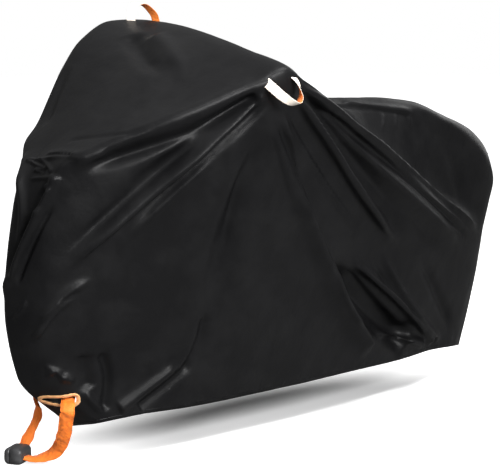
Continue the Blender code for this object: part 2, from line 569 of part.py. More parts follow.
def ring_body(ring, face, grow=0.0, deep=0.0, sides=10):
    """Flat binding that runs round the oval."""
    bm = bmesh.new()
    loops, count = [], len(ring)
    w, h = BIND_WIDE / 2 + grow, BIND_THICK / 2 + deep
    for k in range(count):
        way = (ring[(k + 1) % count] - ring[k - 1]).normalized()
        up = (face - face.dot(way) * way).normalized()
        side = way.cross(up)
        centre = ring[k] - up * CLOTH / 2
        loops.append([bm.verts.new(centre + side * w * np.cos(t) + up * h * np.sin(t))
                      for t in np.linspace(0, 2 * np.pi, sides, endpoint=False)])
    for k in range(count):
        for s in range(sides):
            t = (s + 1) % sides
            n = (k + 1) % count
            bm.faces.new((loops[k][s], loops[k][t], loops[n][t], loops[n][s]))
    bmesh.ops.recalc_face_normals(bm, faces=bm.faces)
    return bm


for name, place, long_way in SLOTS:
    ring, middle, face = slot_ring(place, long_way,
                                   SLOT_LONG / 2 + BIND_WIDE / 2,
                                   SLOT_HIGH / 2 + BIND_WIDE / 2)
    add_object(name + '_slot_binding', ring_body(ring, face), BUILT, 'slot binding')
    edge = add_object(name + '_slot_edge', ring_body(ring, face, GAP, 0.004), CUTTERS)
    hole = bmesh.new()
    far = [hole.verts.new(p - face * 0.03) for p in ring]
    near = [hole.verts.new(p + face * 0.03) for p in ring]
    for k in range(len(ring)):
        n = (k + 1) % len(ring)
        hole.faces.new((far[k], far[n], near[n], near[k]))
    hole.faces.new(far)
    hole.faces.new(near)
    bmesh.ops.triangulate(hole, faces=hole.faces)
    bmesh.ops.recalc_face_normals(hole, faces=hole.faces)
    hole = add_object(name + '_slot_hole', hole, CUTTERS)
    cut(cover, hole)
    cut(cover, edge)

# ------------------------------------------------------ loops, strap, lock
for name, rows in (('near_loop', NEAR_LOOP), ('far_loop', FAR_LOOP)):
    rough = add_object(name + '_uncut', strip(rows, WEB_WIDTH, WEB_THICK), CUTTERS)
    cut(rough, clear)
    add_object(name, largest_piece(shaped(rough)), BUILT, 'loop webbing')

sleeve = add_object('lock_sleeve', strip(SLEEVE, SLEEVE_WIDTH, SLEEVE_THICK, sides=16),
                    BUILT, 'strap sleeve')
bm = bmesh.new()
bmesh.ops.create_cube(bm, size=1.0)
place, size, turn = LOCK
bmesh.ops.scale(bm, vec=size, verts=bm.verts)
bmesh.ops.rotate(bm, cent=(0, 0, 0), matrix=Matrix.Rotation(np.radians(turn), 3, 'Z'),
                 verts=bm.verts)
bmesh.ops.translate(bm, vec=(place[0], place[1], place[2] - MOUNT), verts=bm.verts)
case = add_object('lock_case', bm, BUILT, 'lock case')
round_off = case.modifiers.new('rounded', 'BEVEL')
round_off.width, round_off.segments = 0.014, 4
entry = add_object('sleeve_clear', strip(SLEEVE, SLEEVE_WIDTH, SLEEVE_THICK, sides=16,
                                         grow=GAP), CUTTERS)
cut(case, entry)
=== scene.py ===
# %% [markdown]
# # A bicycle cover, hanging as it does in use
#
# The real object is one large piece of thin coated cloth, sewn to a rough fit.
# What it is put over carries it from below, so its shape is a few taut crests
# with folds running down from them. Sewn to it are two webbing loops at the
# ends of the handle crest and two bound slots near the floor, and through the
# slots runs a locking strap in a cloth sleeve, which ends in a lock. The
# inside is hollow.
#
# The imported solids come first, because every piece here has to sit on them.

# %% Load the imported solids
import math

import bmesh
import bpy
import numpy as np
from mathutils import Matrix, Vector, noise
from mathutils.bvhtree import BVHTree


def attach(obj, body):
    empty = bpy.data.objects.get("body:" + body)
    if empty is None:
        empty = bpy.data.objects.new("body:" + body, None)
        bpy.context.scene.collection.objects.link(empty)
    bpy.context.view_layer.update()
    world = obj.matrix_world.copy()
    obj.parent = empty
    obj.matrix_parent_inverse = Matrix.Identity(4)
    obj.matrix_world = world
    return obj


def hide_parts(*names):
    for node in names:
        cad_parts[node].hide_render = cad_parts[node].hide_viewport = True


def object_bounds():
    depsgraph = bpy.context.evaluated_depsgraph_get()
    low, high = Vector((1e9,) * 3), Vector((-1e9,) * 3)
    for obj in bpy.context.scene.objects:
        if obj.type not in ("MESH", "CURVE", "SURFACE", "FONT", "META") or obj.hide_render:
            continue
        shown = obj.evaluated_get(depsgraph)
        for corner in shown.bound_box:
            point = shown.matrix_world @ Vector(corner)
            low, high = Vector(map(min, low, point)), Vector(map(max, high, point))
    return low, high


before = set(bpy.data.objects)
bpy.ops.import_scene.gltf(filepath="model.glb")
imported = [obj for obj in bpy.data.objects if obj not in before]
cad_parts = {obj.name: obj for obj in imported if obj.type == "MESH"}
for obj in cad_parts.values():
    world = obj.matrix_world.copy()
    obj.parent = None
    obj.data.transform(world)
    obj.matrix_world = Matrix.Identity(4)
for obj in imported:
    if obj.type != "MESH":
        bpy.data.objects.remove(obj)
solids_box = [list(corner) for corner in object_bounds()]
print("solids:", sorted(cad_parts))

# %% [markdown]
# The frame's origin is the hold under the cloth at the middle of the handle
# crest. The tables below give heights above the floor, because those are the
# heights that one can measure on the real thing, and `CREST_HEIGHT` takes
# them to the frame.

# %% Sizes that the whole script shares
CREST_HEIGHT = 1.155       # the hold above the floor
CLOTH_THICK = 0.0007       # coated cloth
WEB_WIDTH = 0.025          # hanging loops
WEB_THICK = 0.0018
SLEEVE_WIDTH = 0.038       # strap in its cloth sleeve
SLEEVE_THICK = 0.010
SLOT_LONG = 0.096          # slot, measured inside its binding
SLOT_HIGH = 0.027
BINDING_WIDE = 0.0085      # folded tape round each slot
BINDING_THICK = 0.0042
studio = bpy.context.scene
print("crest", CREST_HEIGHT, "m above the floor")

# %% [markdown]
# The camera stands about four metres off the cover's front corner, a little
# higher than its middle, with a long lens. From that far the nose and the
# tail keep nearly the same scale, as in a shop picture.

# %% The camera
lens = bpy.data.cameras.new("view")
lens.sensor_width = 36
lens.lens = 105.36
camera = bpy.data.objects.new("view", lens)
camera.location = (-2.676, -3.071, 1.110 - CREST_HEIGHT)
camera.rotation_euler = (math.radians(83.03), 0, math.radians(-42.52))
studio.collection.objects.link(camera)
studio.camera = camera
print("camera at", tuple(round(x, 3) for x in camera.location))

# %% [markdown]
# Every long form here, cloth, strap or loop, starts as a short table of
# places that a smooth curve runs through. A plain spline overshoots next to a
# sharp bend, which on cloth shows as a ripple that isn't there. This curve
# limits its slopes, so that between two rows it never leaves their range.

# %% A curve through the rows of a table
def smooth_through(knots, values, at):
    """Monotone curve through the rows of a table."""
    knots = np.asarray(knots, float)
    values = np.asarray(values, float)
    shape = (-1,) + (1,) * (values.ndim - 1)
    step = np.diff(knots).reshape(shape)
    rise = np.diff(values, axis=0) / step
    slope = np.zeros_like(values)
    w1, w2 = 2 * step[1:] + step[:-1], step[1:] + 2 * step[:-1]
    with np.errstate(divide='ignore', invalid='ignore'):
        mean = (w1 + w2) / (w1 / rise[:-1] + w2 / rise[1:])
    slope[1:-1] = np.where(rise[:-1] * rise[1:] > 0, mean, 0)
    slope[0], slope[-1] = rise[0], rise[-1]
    at = np.clip(at, knots[0], knots[-1])
    i = np.clip(np.searchsorted(knots, at, side='right') - 1, 0, len(knots) - 2)
    t = ((at - knots[i]) / (knots[i + 1] - knots[i])).reshape(shape)
    h = (knots[i + 1] - knots[i]).reshape(shape)
    return ((2 * t**3 - 3 * t**2 + 1) * values[i]
            + (t**3 - 2 * t**2 + t) * h * slope[i]
            + (3 * t**2 - 2 * t**3) * values[i + 1]
            + (t**3 - t**2) * h * slope[i + 1])


print("halfway from 0 to 1:", float(smooth_through((0, 1), (0, 1), np.array([0.5]))[0]))

# %% [markdown]
# The strap comes before the cloth, because its length is a fact to settle
# first: 0.65 m of flat chain or webbing in a 38 mm cloth sleeve, out of the
# lock, up to the near slot, through the cover, out of the far slot and back
# down into the lock. Its route is given place by place, with the way that the
# broad face looks at each place, because a flat strap twists as it goes.

# %% The strap's route
SLEEVE = (
    (-0.5180, 0.1880, 0.0300, 0.10, -0.35, 0.93),
    (-0.4990, 0.1700, 0.0260, 0.05, -0.40, 0.90),
    (-0.4700, 0.1420, 0.0350, -0.20, -0.60, 0.75),
    (-0.4570, 0.1120, 0.0610, -0.60, -0.70, 0.30),
    (-0.4620, 0.0800, 0.1020, -0.65, -0.75, 0.00),
    (-0.4707, 0.0538, 0.1582, -0.65, -0.75, 0.02),
    (-0.4727, 0.0460, 0.1744, -0.60, -0.65, 0.35),
    (-0.4581, 0.0656, 0.1909, -0.42, -0.47, 0.75),
    (-0.4307, 0.1006, 0.2156, -0.20, -0.20, 1.00),
    (-0.4150, 0.1500, 0.2160, 0.05, 0.00, 1.00),
    (-0.4150, 0.1950, 0.2041, 0.00, 0.05, 1.00),
    (-0.4320, 0.2320, 0.1981, -0.30, 0.30, 0.90),
    (-0.4410, 0.2450, 0.1815, -0.65, 0.55, 0.50),
    (-0.4330, 0.2490, 0.1570, -0.85, 0.50, 0.05),
    (-0.4280, 0.2480, 0.1400, -0.99, 0.10, 0.05),
    (-0.4310, 0.2470, 0.1210, -0.90, -0.40, 0.15),
    (-0.4420, 0.2460, 0.1010, -0.75, -0.60, 0.30),
    (-0.4580, 0.2430, 0.0800, -0.60, -0.55, 0.50),
    (-0.4720, 0.2390, 0.0640, -0.50, -0.45, 0.70),
    (-0.4860, 0.2350, 0.0510, -0.40, -0.35, 0.85),
    (-0.5000, 0.2300, 0.0420, -0.30, -0.30, 0.90))


def along_route(rows, steps):
    """Places, sideways and facing directions along a route of given rows."""
    table = np.array(rows, float)
    table[:, 2] -= CREST_HEIGHT
    fine = np.linspace(0, len(table) - 1, steps * (len(table) - 1) + 1)
    line = smooth_through(np.arange(len(table)), table, fine)
    way = np.gradient(line[:, :3], axis=0)
    way /= np.linalg.norm(way, axis=1, keepdims=True)
    face = line[:, 3:] - (line[:, 3:] * way).sum(1, keepdims=True) * way
    face /= np.linalg.norm(face, axis=1, keepdims=True)
    return line[:, :3], np.cross(way, face), face


strap_places, strap_side, strap_face = along_route(SLEEVE, 12)

# %% [markdown]
# A strap, a loop and a binding are all one outline carried along a route. In
# bmesh that is a ring of vertices, extruded from place to place. Each vertex
# remembers its place in the outline and along the route, so that its UV, in
# metres along and across, can be laid afterwards and weave and stitches
# follow the piece wherever it bends.

# %% Carry an outline along a route
def swept(places, side, face, outlines, closed=False):
    """A skin through one outline of (across, out) pairs for each place."""
    spots = (places[:, None] + outlines[..., :1] * side[:, None]
             + outlines[..., 1:] * face[:, None])
    bm = bmesh.new()
    column = bm.verts.layers.int.new("column")
    row = bm.verts.layers.int.new("row")
    ring = []
    for n, spot in enumerate(spots[0]):
        ring.append(bm.verts.new(spot))
        ring[-1][column] = n
    edges = [bm.edges.new((ring[n - 1], ring[n])) for n in range(len(ring))]
    first = list(edges)
    for r in range(1, len(spots)):
        made = bmesh.ops.extrude_edge_only(bm, edges=edges)["geom"]
        edges = [g for g in made if isinstance(g, bmesh.types.BMEdge)]
        for v in made:
            if isinstance(v, bmesh.types.BMVert):
                v.co = spots[r][v[column]]
                v[row] = r
    lay_uv(bm, places, outlines)
    if closed:
        bmesh.ops.remove_doubles(bm, verts=bm.verts, dist=0.00002)
    else:
        for end in (first, edges):
            bmesh.ops.contextual_create(bm, geom=end)
    bmesh.ops.recalc_face_normals(bm, faces=bm.faces)
    return bm


def lay_uv(bm, places, outlines):
    """UV in metres: along the route, and round the outline."""
    column = bm.verts.layers.int["column"]
    row = bm.verts.layers.int["row"]
    uv = bm.loops.layers.uv.new("cloth")
    along = np.concatenate([[0], np.cumsum(np.linalg.norm(np.diff(places, axis=0), axis=1))])
    turn = np.concatenate([outlines[0], outlines[0][:1]])
    round_it = np.concatenate([[0], np.cumsum(np.linalg.norm(np.diff(turn, axis=0), axis=1))])
    last = len(outlines[0]) - 1
    for f in bm.faces:
        wraps = {v[column] for v in f.verts} >= {0, last}
        for loop in f.loops:
            n = loop.vert[column]
            n = last + 1 if wraps and n == 0 else n
            loop[uv].uv = (along[loop.vert[row]], round_it[n])


def rounded_outline(width, thick, points=20, square=0.6):
    """Flat outline with rounded edges, as (across, out) pairs."""
    turn = np.linspace(0, 2 * np.pi, points, endpoint=False) + np.pi / points
    across = np.sign(np.cos(turn)) * np.abs(np.cos(turn))**square * width / 2
    out = np.sign(np.sin(turn)) * np.abs(np.sin(turn))**square * thick / 2
    return np.stack([across, out], axis=1)


def finished(name, bm, *materials, smooth=True):
    """The bmesh as an object of the scene, with its materials."""
    mesh = bpy.data.meshes.new(name)
    bm.to_mesh(mesh)
    bm.free()
    if smooth:
        mesh.shade_smooth()
    for m in materials:
        mesh.materials.append(m)
    made = bpy.data.objects.new(name, mesh)
    studio.collection.objects.link(made)
    return made


print("outline of", len(rounded_outline(SLEEVE_WIDTH, SLEEVE_THICK)), "points")

# %% [markdown]
# ## Finishes
#
# Four woven materials share one effect, the weave itself, so it is a node
# group: a plain over-and-under of two threads, made from the piece's UV in
# metres. `Pitch` is the distance from thread to thread. Its height goes to a
# Bump node in each material.

# %% The weave group
def group_of(name, sockets_in, sockets_out):
    """A new shader group with its named sockets."""
    tree = bpy.data.node_groups.new(name, "ShaderNodeTree")
    for title, kind, value in sockets_in:
        socket = tree.interface.new_socket(title, in_out="INPUT", socket_type=kind)
        if value is not None:
            socket.default_value = value
    for title, kind in sockets_out:
        tree.interface.new_socket(title, in_out="OUTPUT", socket_type=kind)
    start, end = tree.nodes.new("NodeGroupInput"), tree.nodes.new("NodeGroupOutput")
    return tree, start.outputs, end.inputs


def maths(tree, kind, a, b=None, c=None):
    """One Math node with its inputs linked or set."""
    node = tree.nodes.new("ShaderNodeMath")
    node.operation = kind
    for socket, value in zip(node.inputs, (a, b, c)):
        if isinstance(value, (int, float)):
            socket.default_value = value
        elif value is not None:
            tree.links.new(value, socket)
    return node.outputs[0]


def weave_group():
    tree, into, out = group_of(
        "weave",
        (("Vector", "NodeSocketVector", None), ("Pitch", "NodeSocketFloat", 0.001)),
        (("Height", "NodeSocketFloat"),))
    apart = tree.nodes.new("ShaderNodeSeparateXYZ")
    tree.links.new(into["Vector"], apart.inputs[0])
    u = maths(tree, "DIVIDE", apart.outputs["X"], into["Pitch"])
    v = maths(tree, "DIVIDE", apart.outputs["Y"], into["Pitch"])
    turns = maths(tree, "ADD", maths(tree, "FLOOR", u), maths(tree, "FLOOR", v))
    over = maths(tree, "PINGPONG", turns, 1.0)
    hump_u = maths(tree, "ABSOLUTE", maths(tree, "SINE", maths(tree, "MULTIPLY", u, math.pi)))
    hump_v = maths(tree, "ABSOLUTE", maths(tree, "SINE", maths(tree, "MULTIPLY", v, math.pi)))
    warp = maths(tree, "MULTIPLY", over, hump_v)
    weft = maths(tree, "MULTIPLY", maths(tree, "SUBTRACT", 1.0, over), hump_u)
    tree.links.new(maths(tree, "ADD", warp, weft), out["Height"])
    return tree


WEAVE = weave_group()
print("weave group with", len(WEAVE.nodes), "nodes")

# %% [markdown]
# Handling leaves soft crumples that are far too many to place by hand: a
# second group gives their height, from two sizes of noise. A third gives a
# mask of faint dust and rubbing, which lightens cloth and roughens its coat.

# %% The crumple and wear groups
def noise_of(tree, vector, scale, detail, rough=0.5):
    node = tree.nodes.new("ShaderNodeTexNoise")
    node.inputs["Detail"].default_value = detail
    node.inputs["Roughness"].default_value = rough
    if isinstance(scale, float):
        node.inputs["Scale"].default_value = scale
    else:
        tree.links.new(scale, node.inputs["Scale"])
    tree.links.new(vector, node.inputs["Vector"])
    return node.outputs["Fac"]


def crumple_group():
    tree, into, out = group_of(
        "crumple",
        (("Vector", "NodeSocketVector", None), ("Scale", "NodeSocketFloat", 12.0)),
        (("Height", "NodeSocketFloat"),))
    broad = noise_of(tree, into["Vector"], into["Scale"], 2.0)
    fine = noise_of(tree, into["Vector"], maths(tree, "MULTIPLY", into["Scale"], 5.0), 3.0)
    creased = maths(tree, "ABSOLUTE", maths(tree, "SUBTRACT", fine, 0.5))
    tree.links.new(maths(tree, "MULTIPLY_ADD", creased, 0.25, broad), out["Height"])
    return tree


def wear_group():
    tree, into, out = group_of(
        "wear",
        (("Vector", "NodeSocketVector", None), ("Scale", "NodeSocketFloat", 9.0)),
        (("Mask", "NodeSocketFloat"),))
    patch = noise_of(tree, into["Vector"], into["Scale"], 5.0, 0.6)
    ramp = tree.nodes.new("ShaderNodeMapRange")
    ramp.inputs["From Min"].default_value = 0.42
    ramp.inputs["From Max"].default_value = 0.75
    tree.links.new(patch, ramp.inputs["Value"])
    tree.links.new(ramp.outputs[0], out["Mask"])
    return tree


CRUMPLE, WEAR = crumple_group(), wear_group()
print("groups:", [g.name for g in bpy.data.node_groups])

# %% [markdown]
# A finish is then a Principled BSDF with these groups in front of it. The
# Object coordinates place crumples and wear, since they don't care how the
# cloth was cut, and the UV map places the threads.

# %% One maker for all finishes
def place_group(tree, group, vector, **values):
    node = tree.nodes.new("ShaderNodeGroup")
    node.node_tree = group
    tree.links.new(vector, node.inputs["Vector"])
    for name, value in values.items():
        node.inputs[name].default_value = value
    return node.outputs[0]


def bumped(tree, height, distance, strength, below=None):
    node = tree.nodes.new("ShaderNodeBump")
    node.inputs["Distance"].default_value = distance
    node.inputs["Strength"].default_value = strength
    tree.links.new(height, node.inputs["Height"])
    if below is not None:
        tree.links.new(below, node.inputs["Normal"])
    return node.outputs["Normal"]


def mixed(tree, mask, plain, worn):
    """Colour that goes from plain to worn with the mask."""
    node = tree.nodes.new("ShaderNodeMix")
    node.data_type = "RGBA"
    node.inputs["A"].default_value = (*plain, 1)
    node.inputs["B"].default_value = (*worn, 1)
    tree.links.new(mask, node.inputs["Factor"])
    return node.outputs["Result"]


def ranged(tree, mask, low, high):
    node = tree.nodes.new("ShaderNodeMapRange")
    node.inputs["To Min"].default_value = low
    node.inputs["To Max"].default_value = high
    tree.links.new(mask, node.inputs["Value"])
    return node.outputs[0]


def finish(name, plain, worn, rough, specular=0.5, sheen=0.0, pitch=None, thread=0.0,
           crumple=(12.0, 0.0), wear=9.0):
    """A finish: colours plain and worn, roughness range, weave and crumple."""
    made = bpy.data.materials.new(name)
    made.use_nodes = True
    made.diffuse_color = (*plain, 1)
    tree = made.node_tree
    shader = tree.nodes["Principled BSDF"]
    shader.inputs["Specular IOR Level"].default_value = specular
    shader.inputs["Sheen Weight"].default_value = sheen
    where = tree.nodes.new("ShaderNodeTexCoord")
    mask = place_group(tree, WEAR, where.outputs["Object"], Scale=wear)
    tree.links.new(mixed(tree, mask, plain, worn), shader.inputs["Base Color"])
    tree.links.new(ranged(tree, mask, *rough), shader.inputs["Roughness"])
    scale, depth = crumple
    height = place_group(tree, CRUMPLE, where.outputs["Object"], Scale=scale)
    normal = bumped(tree, height, max(depth, 0.00001), 1.0)
    if pitch:
        threads = place_group(tree, WEAVE, where.outputs["UV"], Pitch=pitch)
        normal = bumped(tree, threads, thread, 0.6, normal)
    tree.links.new(normal, shader.inputs["Normal"])
    return made


COATED = finish("coated_cloth", (0.0050, 0.0050, 0.0054), (0.0088, 0.0088, 0.0092),
                (0.38, 0.50), specular=0.12, pitch=0.0008, thread=0.00006,
                crumple=(9.0, 0.004))
ORANGE_WEB = finish("orange_webbing", (0.95, 0.24, 0.03), (0.95, 0.32, 0.07),
                    (0.60, 0.75), sheen=0.1, pitch=0.0016, thread=0.0004)
BRIGHT_WEB = finish("reflective_face", (0.96, 0.88, 0.78), (0.90, 0.78, 0.66),
                    (0.30, 0.42), pitch=0.0012, thread=0.0001)
BINDING = finish("slot_binding", (0.88, 0.42, 0.15), (0.92, 0.52, 0.24),
                 (0.55, 0.70), sheen=0.2, pitch=0.0010, thread=0.0002)
SLEEVE_CLOTH = finish("strap_sleeve", (0.98, 0.21, 0.012), (0.80, 0.19, 0.020),
                      (0.60, 0.80), sheen=0.1, pitch=0.0009, thread=0.00015,
                      crumple=(45.0, 0.006), wear=40.0)
LOCK_SKIN = finish("lock_skin", (0.034, 0.034, 0.036), (0.060, 0.060, 0.062),
                   (0.42, 0.60), crumple=(400.0, 0.00012), wear=60.0)
LOCK_TRIM = finish("lock_trim", (0.20, 0.20, 0.21), (0.30, 0.30, 0.31), (0.30, 0.45),
                   crumple=(500.0, 0.00005), wear=60.0)
THREAD = finish("thread", (0.80, 0.20, 0.03), (0.85, 0.26, 0.05), (0.6, 0.8))
DARK_THREAD = finish("dark_thread", (0.012, 0.012, 0.012), (0.02, 0.02, 0.02), (0.5, 0.7))


def turn_hem(material, wide=0.012):
    """The hem's turned band: one step in the bump, from the second UV map."""
    tree = material.node_tree
    normal = tree.nodes["Principled BSDF"].inputs["Normal"]
    where = tree.nodes.new("ShaderNodeUVMap")
    where.uv_map = "hem"
    apart = tree.nodes.new("ShaderNodeSeparateXYZ")
    step = tree.nodes.new("ShaderNodeMapRange")
    for name, value in (("From Min", wide - 0.001), ("From Max", wide + 0.001),
                        ("To Min", 1.0), ("To Max", 0.0)):
        step.inputs[name].default_value = value
    tree.links.new(where.outputs[0], apart.inputs[0])
    tree.links.new(apart.outputs["Y"], step.inputs["Value"])
    cloth = normal.links[0].from_socket
    tree.links.new(bumped(tree, step.outputs[0], 0.0012, 1.0, cloth), normal)


turn_hem(COATED)
print(len(bpy.data.materials), "materials")

# %% [markdown]
# ## The cloth
#
# The draped shape could be simulated from a flat cut, but then the folds fall
# where they like. Here they have to fall where they do on the real one, so the
# shell is lofted: twelve long lines run from the nose to the tail, each given
# at a few stations, from the near hem up over the top and down to the far hem.
# A grid is drawn over them, and eased so that no table row shows.

# %% Long lines of the near side: (along, x, y, height above the floor)
NEAR_HEM = (
    (0.00, -0.400, 0.140, 0.105), (0.06, -0.370, 0.050, 0.125),
    (0.14, -0.230, 0.030, 0.131), (0.22, -0.070, 0.020, 0.126),
    (0.30, 0.080, 0.020, 0.124), (0.42, 0.320, 0.020, 0.126),
    (0.58, 0.600, 0.040, 0.125), (0.72, 0.870, 0.070, 0.120),
    (0.82, 1.030, 0.100, 0.121), (0.94, 1.210, 0.125, 0.112),
    (1.00, 1.275, 0.150, 0.104))
NEAR_LOW = (
    (0.00, -0.560, 0.155, 0.262), (0.06, -0.505, 0.068, 0.264),
    (0.14, -0.300, 0.000, 0.300), (0.22, -0.100, -0.030, 0.300),
    (0.30, 0.060, -0.040, 0.300), (0.42, 0.310, -0.030, 0.300),
    (0.58, 0.600, 0.000, 0.290), (0.72, 0.870, 0.035, 0.280),
    (0.82, 1.050, 0.070, 0.270), (0.94, 1.250, 0.115, 0.260),
    (1.00, 1.330, 0.150, 0.258))
NEAR_BELLY = (
    (0.00, -0.588, 0.160, 0.440), (0.06, -0.551, 0.060, 0.500),
    (0.14, -0.360, -0.040, 0.560), (0.22, -0.140, -0.100, 0.580),
    (0.30, 0.030, -0.135, 0.600), (0.42, 0.300, -0.105, 0.560),
    (0.58, 0.590, -0.040, 0.500), (0.72, 0.870, 0.005, 0.440),
    (0.82, 1.070, 0.050, 0.400), (0.94, 1.290, 0.105, 0.385),
    (1.00, 1.365, 0.150, 0.390))
NEAR_CREST = (
    (0.00, -0.565, 0.160, 0.620), (0.05, -0.535, 0.070, 0.745),
    (0.08, -0.515, 0.010, 0.822), (0.12, -0.425, -0.060, 0.878),
    (0.17, -0.328, -0.130, 0.923), (0.21, -0.240, -0.190, 0.957),
    (0.26, -0.100, -0.250, 1.025), (0.30, 0.000, -0.298, 1.072),
    (0.34, 0.080, -0.280, 1.045), (0.42, 0.240, -0.237, 0.975),
    (0.50, 0.390, -0.182, 0.918), (0.60, 0.612, -0.120, 0.800),
    (0.70, 0.800, -0.070, 0.707), (0.80, 1.000, -0.010, 0.610),
    (0.90, 1.190, 0.050, 0.545), (0.96, 1.310, 0.100, 0.500),
    (1.00, 1.393, 0.150, 0.500))
NEAR_VALLEY = (
    (0.00, -0.554, 0.160, 0.730), (0.05, -0.515, 0.090, 0.800),
    (0.08, -0.495, 0.060, 0.845), (0.12, -0.410, 0.020, 0.910),
    (0.17, -0.310, -0.030, 0.970), (0.21, -0.220, -0.080, 1.015),
    (0.26, -0.090, -0.120, 1.085), (0.30, 0.000, -0.150, 1.124),
    (0.34, 0.090, -0.160, 1.050), (0.42, 0.250, -0.140, 0.965),
    (0.50, 0.400, -0.110, 0.930), (0.60, 0.630, -0.050, 0.840),
    (0.70, 0.820, -0.005, 0.760), (0.80, 1.020, 0.045, 0.680),
    (0.90, 1.210, 0.085, 0.620), (0.96, 1.340, 0.110, 0.580),
    (1.00, 1.428, 0.150, 0.600))
print("near side:", sum(map(len, (NEAR_HEM, NEAR_LOW, NEAR_BELLY, NEAR_CREST, NEAR_VALLEY))), "stations")

# %% Long lines of the top
SEAT_EDGE = (
    (0.00, -0.530, 0.150, 0.800), (0.08, -0.475, 0.110, 0.860),
    (0.12, -0.400, 0.090, 0.930), (0.17, -0.300, 0.050, 1.005),
    (0.21, -0.210, 0.020, 1.065), (0.26, -0.085, -0.010, 1.130),
    (0.30, 0.000, -0.030, 1.158), (0.34, 0.090, -0.030, 1.085),
    (0.42, 0.260, -0.030, 0.985), (0.50, 0.430, -0.010, 0.975),
    (0.60, 0.680, 0.000, 0.952), (0.70, 0.860, 0.000, 0.936),
    (0.80, 1.060, 0.025, 0.880), (0.90, 1.260, 0.070, 0.800),
    (0.96, 1.378, 0.110, 0.720), (1.00, 1.442, 0.145, 0.670))
TOP = (
    (0.00, -0.485, 0.140, 0.845), (0.08, -0.462, 0.150, 0.868),
    (0.12, -0.400, 0.150, 0.935), (0.17, -0.300, 0.140, 1.025),
    (0.21, -0.205, 0.120, 1.095), (0.26, -0.080, 0.100, 1.162),
    (0.30, 0.000, 0.085, 1.186), (0.34, 0.090, 0.070, 1.112),
    (0.42, 0.260, 0.040, 0.998), (0.50, 0.460, 0.030, 0.985),
    (0.60, 0.690, 0.040, 0.982), (0.70, 0.870, 0.055, 0.968),
    (0.80, 1.080, 0.080, 0.912), (0.90, 1.250, 0.115, 0.865),
    (0.96, 1.350, 0.130, 0.810), (1.00, 1.400, 0.140, 0.770))
print("top:", len(SEAT_EDGE) + len(TOP), "stations")

# %% Long lines of the far side
FAR_VALLEY = (
    (0.00, -0.530, 0.155, 0.800), (0.08, -0.462, 0.210, 0.868),
    (0.12, -0.400, 0.230, 0.930), (0.17, -0.300, 0.250, 1.050),
    (0.21, -0.210, 0.260, 1.135), (0.26, -0.085, 0.260, 1.193),
    (0.30, 0.000, 0.230, 1.208), (0.34, 0.080, 0.220, 1.135),
    (0.42, 0.250, 0.170, 1.020), (0.50, 0.420, 0.150, 0.975),
    (0.60, 0.660, 0.140, 0.945), (0.70, 0.850, 0.150, 0.900),
    (0.80, 1.050, 0.160, 0.830), (0.90, 1.230, 0.170, 0.760),
    (0.96, 1.340, 0.160, 0.690), (1.00, 1.442, 0.155, 0.670))
FAR_CREST = (
    (0.00, -0.556, 0.170, 0.700), (0.05, -0.480, 0.225, 0.800),
    (0.08, -0.450, 0.262, 0.872), (0.12, -0.395, 0.280, 0.925),
    (0.17, -0.290, 0.310, 1.070), (0.21, -0.210, 0.325, 1.155),
    (0.26, -0.100, 0.335, 1.210), (0.30, -0.010, 0.335, 1.215),
    (0.34, 0.080, 0.330, 1.165), (0.42, 0.250, 0.310, 1.060),
    (0.50, 0.400, 0.300, 0.970), (0.60, 0.620, 0.290, 0.860),
    (0.70, 0.820, 0.280, 0.770), (0.80, 1.010, 0.270, 0.680),
    (0.90, 1.190, 0.250, 0.600), (0.96, 1.310, 0.210, 0.540),
    (1.00, 1.408, 0.165, 0.540))
FAR_BELLY = (
    (0.00, -0.588, 0.170, 0.440), (0.06, -0.460, 0.275, 0.500),
    (0.14, -0.320, 0.360, 0.580), (0.22, -0.130, 0.410, 0.630),
    (0.30, 0.030, 0.430, 0.650), (0.42, 0.300, 0.430, 0.600),
    (0.58, 0.590, 0.410, 0.540), (0.72, 0.870, 0.380, 0.490),
    (0.82, 1.060, 0.330, 0.450), (0.94, 1.280, 0.230, 0.400),
    (1.00, 1.365, 0.160, 0.390))
FAR_LOW = (
    (0.00, -0.560, 0.160, 0.268), (0.06, -0.425, 0.274, 0.285),
    (0.14, -0.274, 0.356, 0.325), (0.22, -0.096, 0.412, 0.360),
    (0.30, 0.058, 0.437, 0.388), (0.42, 0.312, 0.443, 0.379),
    (0.58, 0.596, 0.429, 0.354), (0.72, 0.870, 0.399, 0.328),
    (0.82, 1.042, 0.348, 0.302), (0.94, 1.245, 0.235, 0.257),
    (1.00, 1.322, 0.160, 0.245))
FAR_HEM = (
    (0.00, -0.400, 0.150, 0.105), (0.06, -0.345, 0.265, 0.128),
    (0.14, -0.225, 0.355, 0.152), (0.22, -0.070, 0.415, 0.182),
    (0.30, 0.080, 0.440, 0.203), (0.42, 0.320, 0.450, 0.215),
    (0.58, 0.600, 0.440, 0.210), (0.72, 0.870, 0.410, 0.200),
    (0.82, 1.020, 0.360, 0.180), (0.94, 1.200, 0.240, 0.130),
    (1.00, 1.275, 0.160, 0.104))
LINES = ((0.000, NEAR_HEM), (0.090, NEAR_LOW), (0.200, NEAR_BELLY),
         (0.360, NEAR_CREST), (0.405, NEAR_VALLEY), (0.455, SEAT_EDGE),
         (0.500, TOP), (0.555, FAR_VALLEY), (0.640, FAR_CREST),
         (0.800, FAR_BELLY), (0.910, FAR_LOW), (1.000, FAR_HEM))
print("far side:", sum(map(len, (FAR_VALLEY, FAR_CREST, FAR_BELLY, FAR_LOW, FAR_HEM))), "stations")

# %% [markdown]
# The nose and the tail are seams: there the near and the far half of the grid
# meet. Easing has to keep them closed, and the outward direction at a seam is
# taken across it.

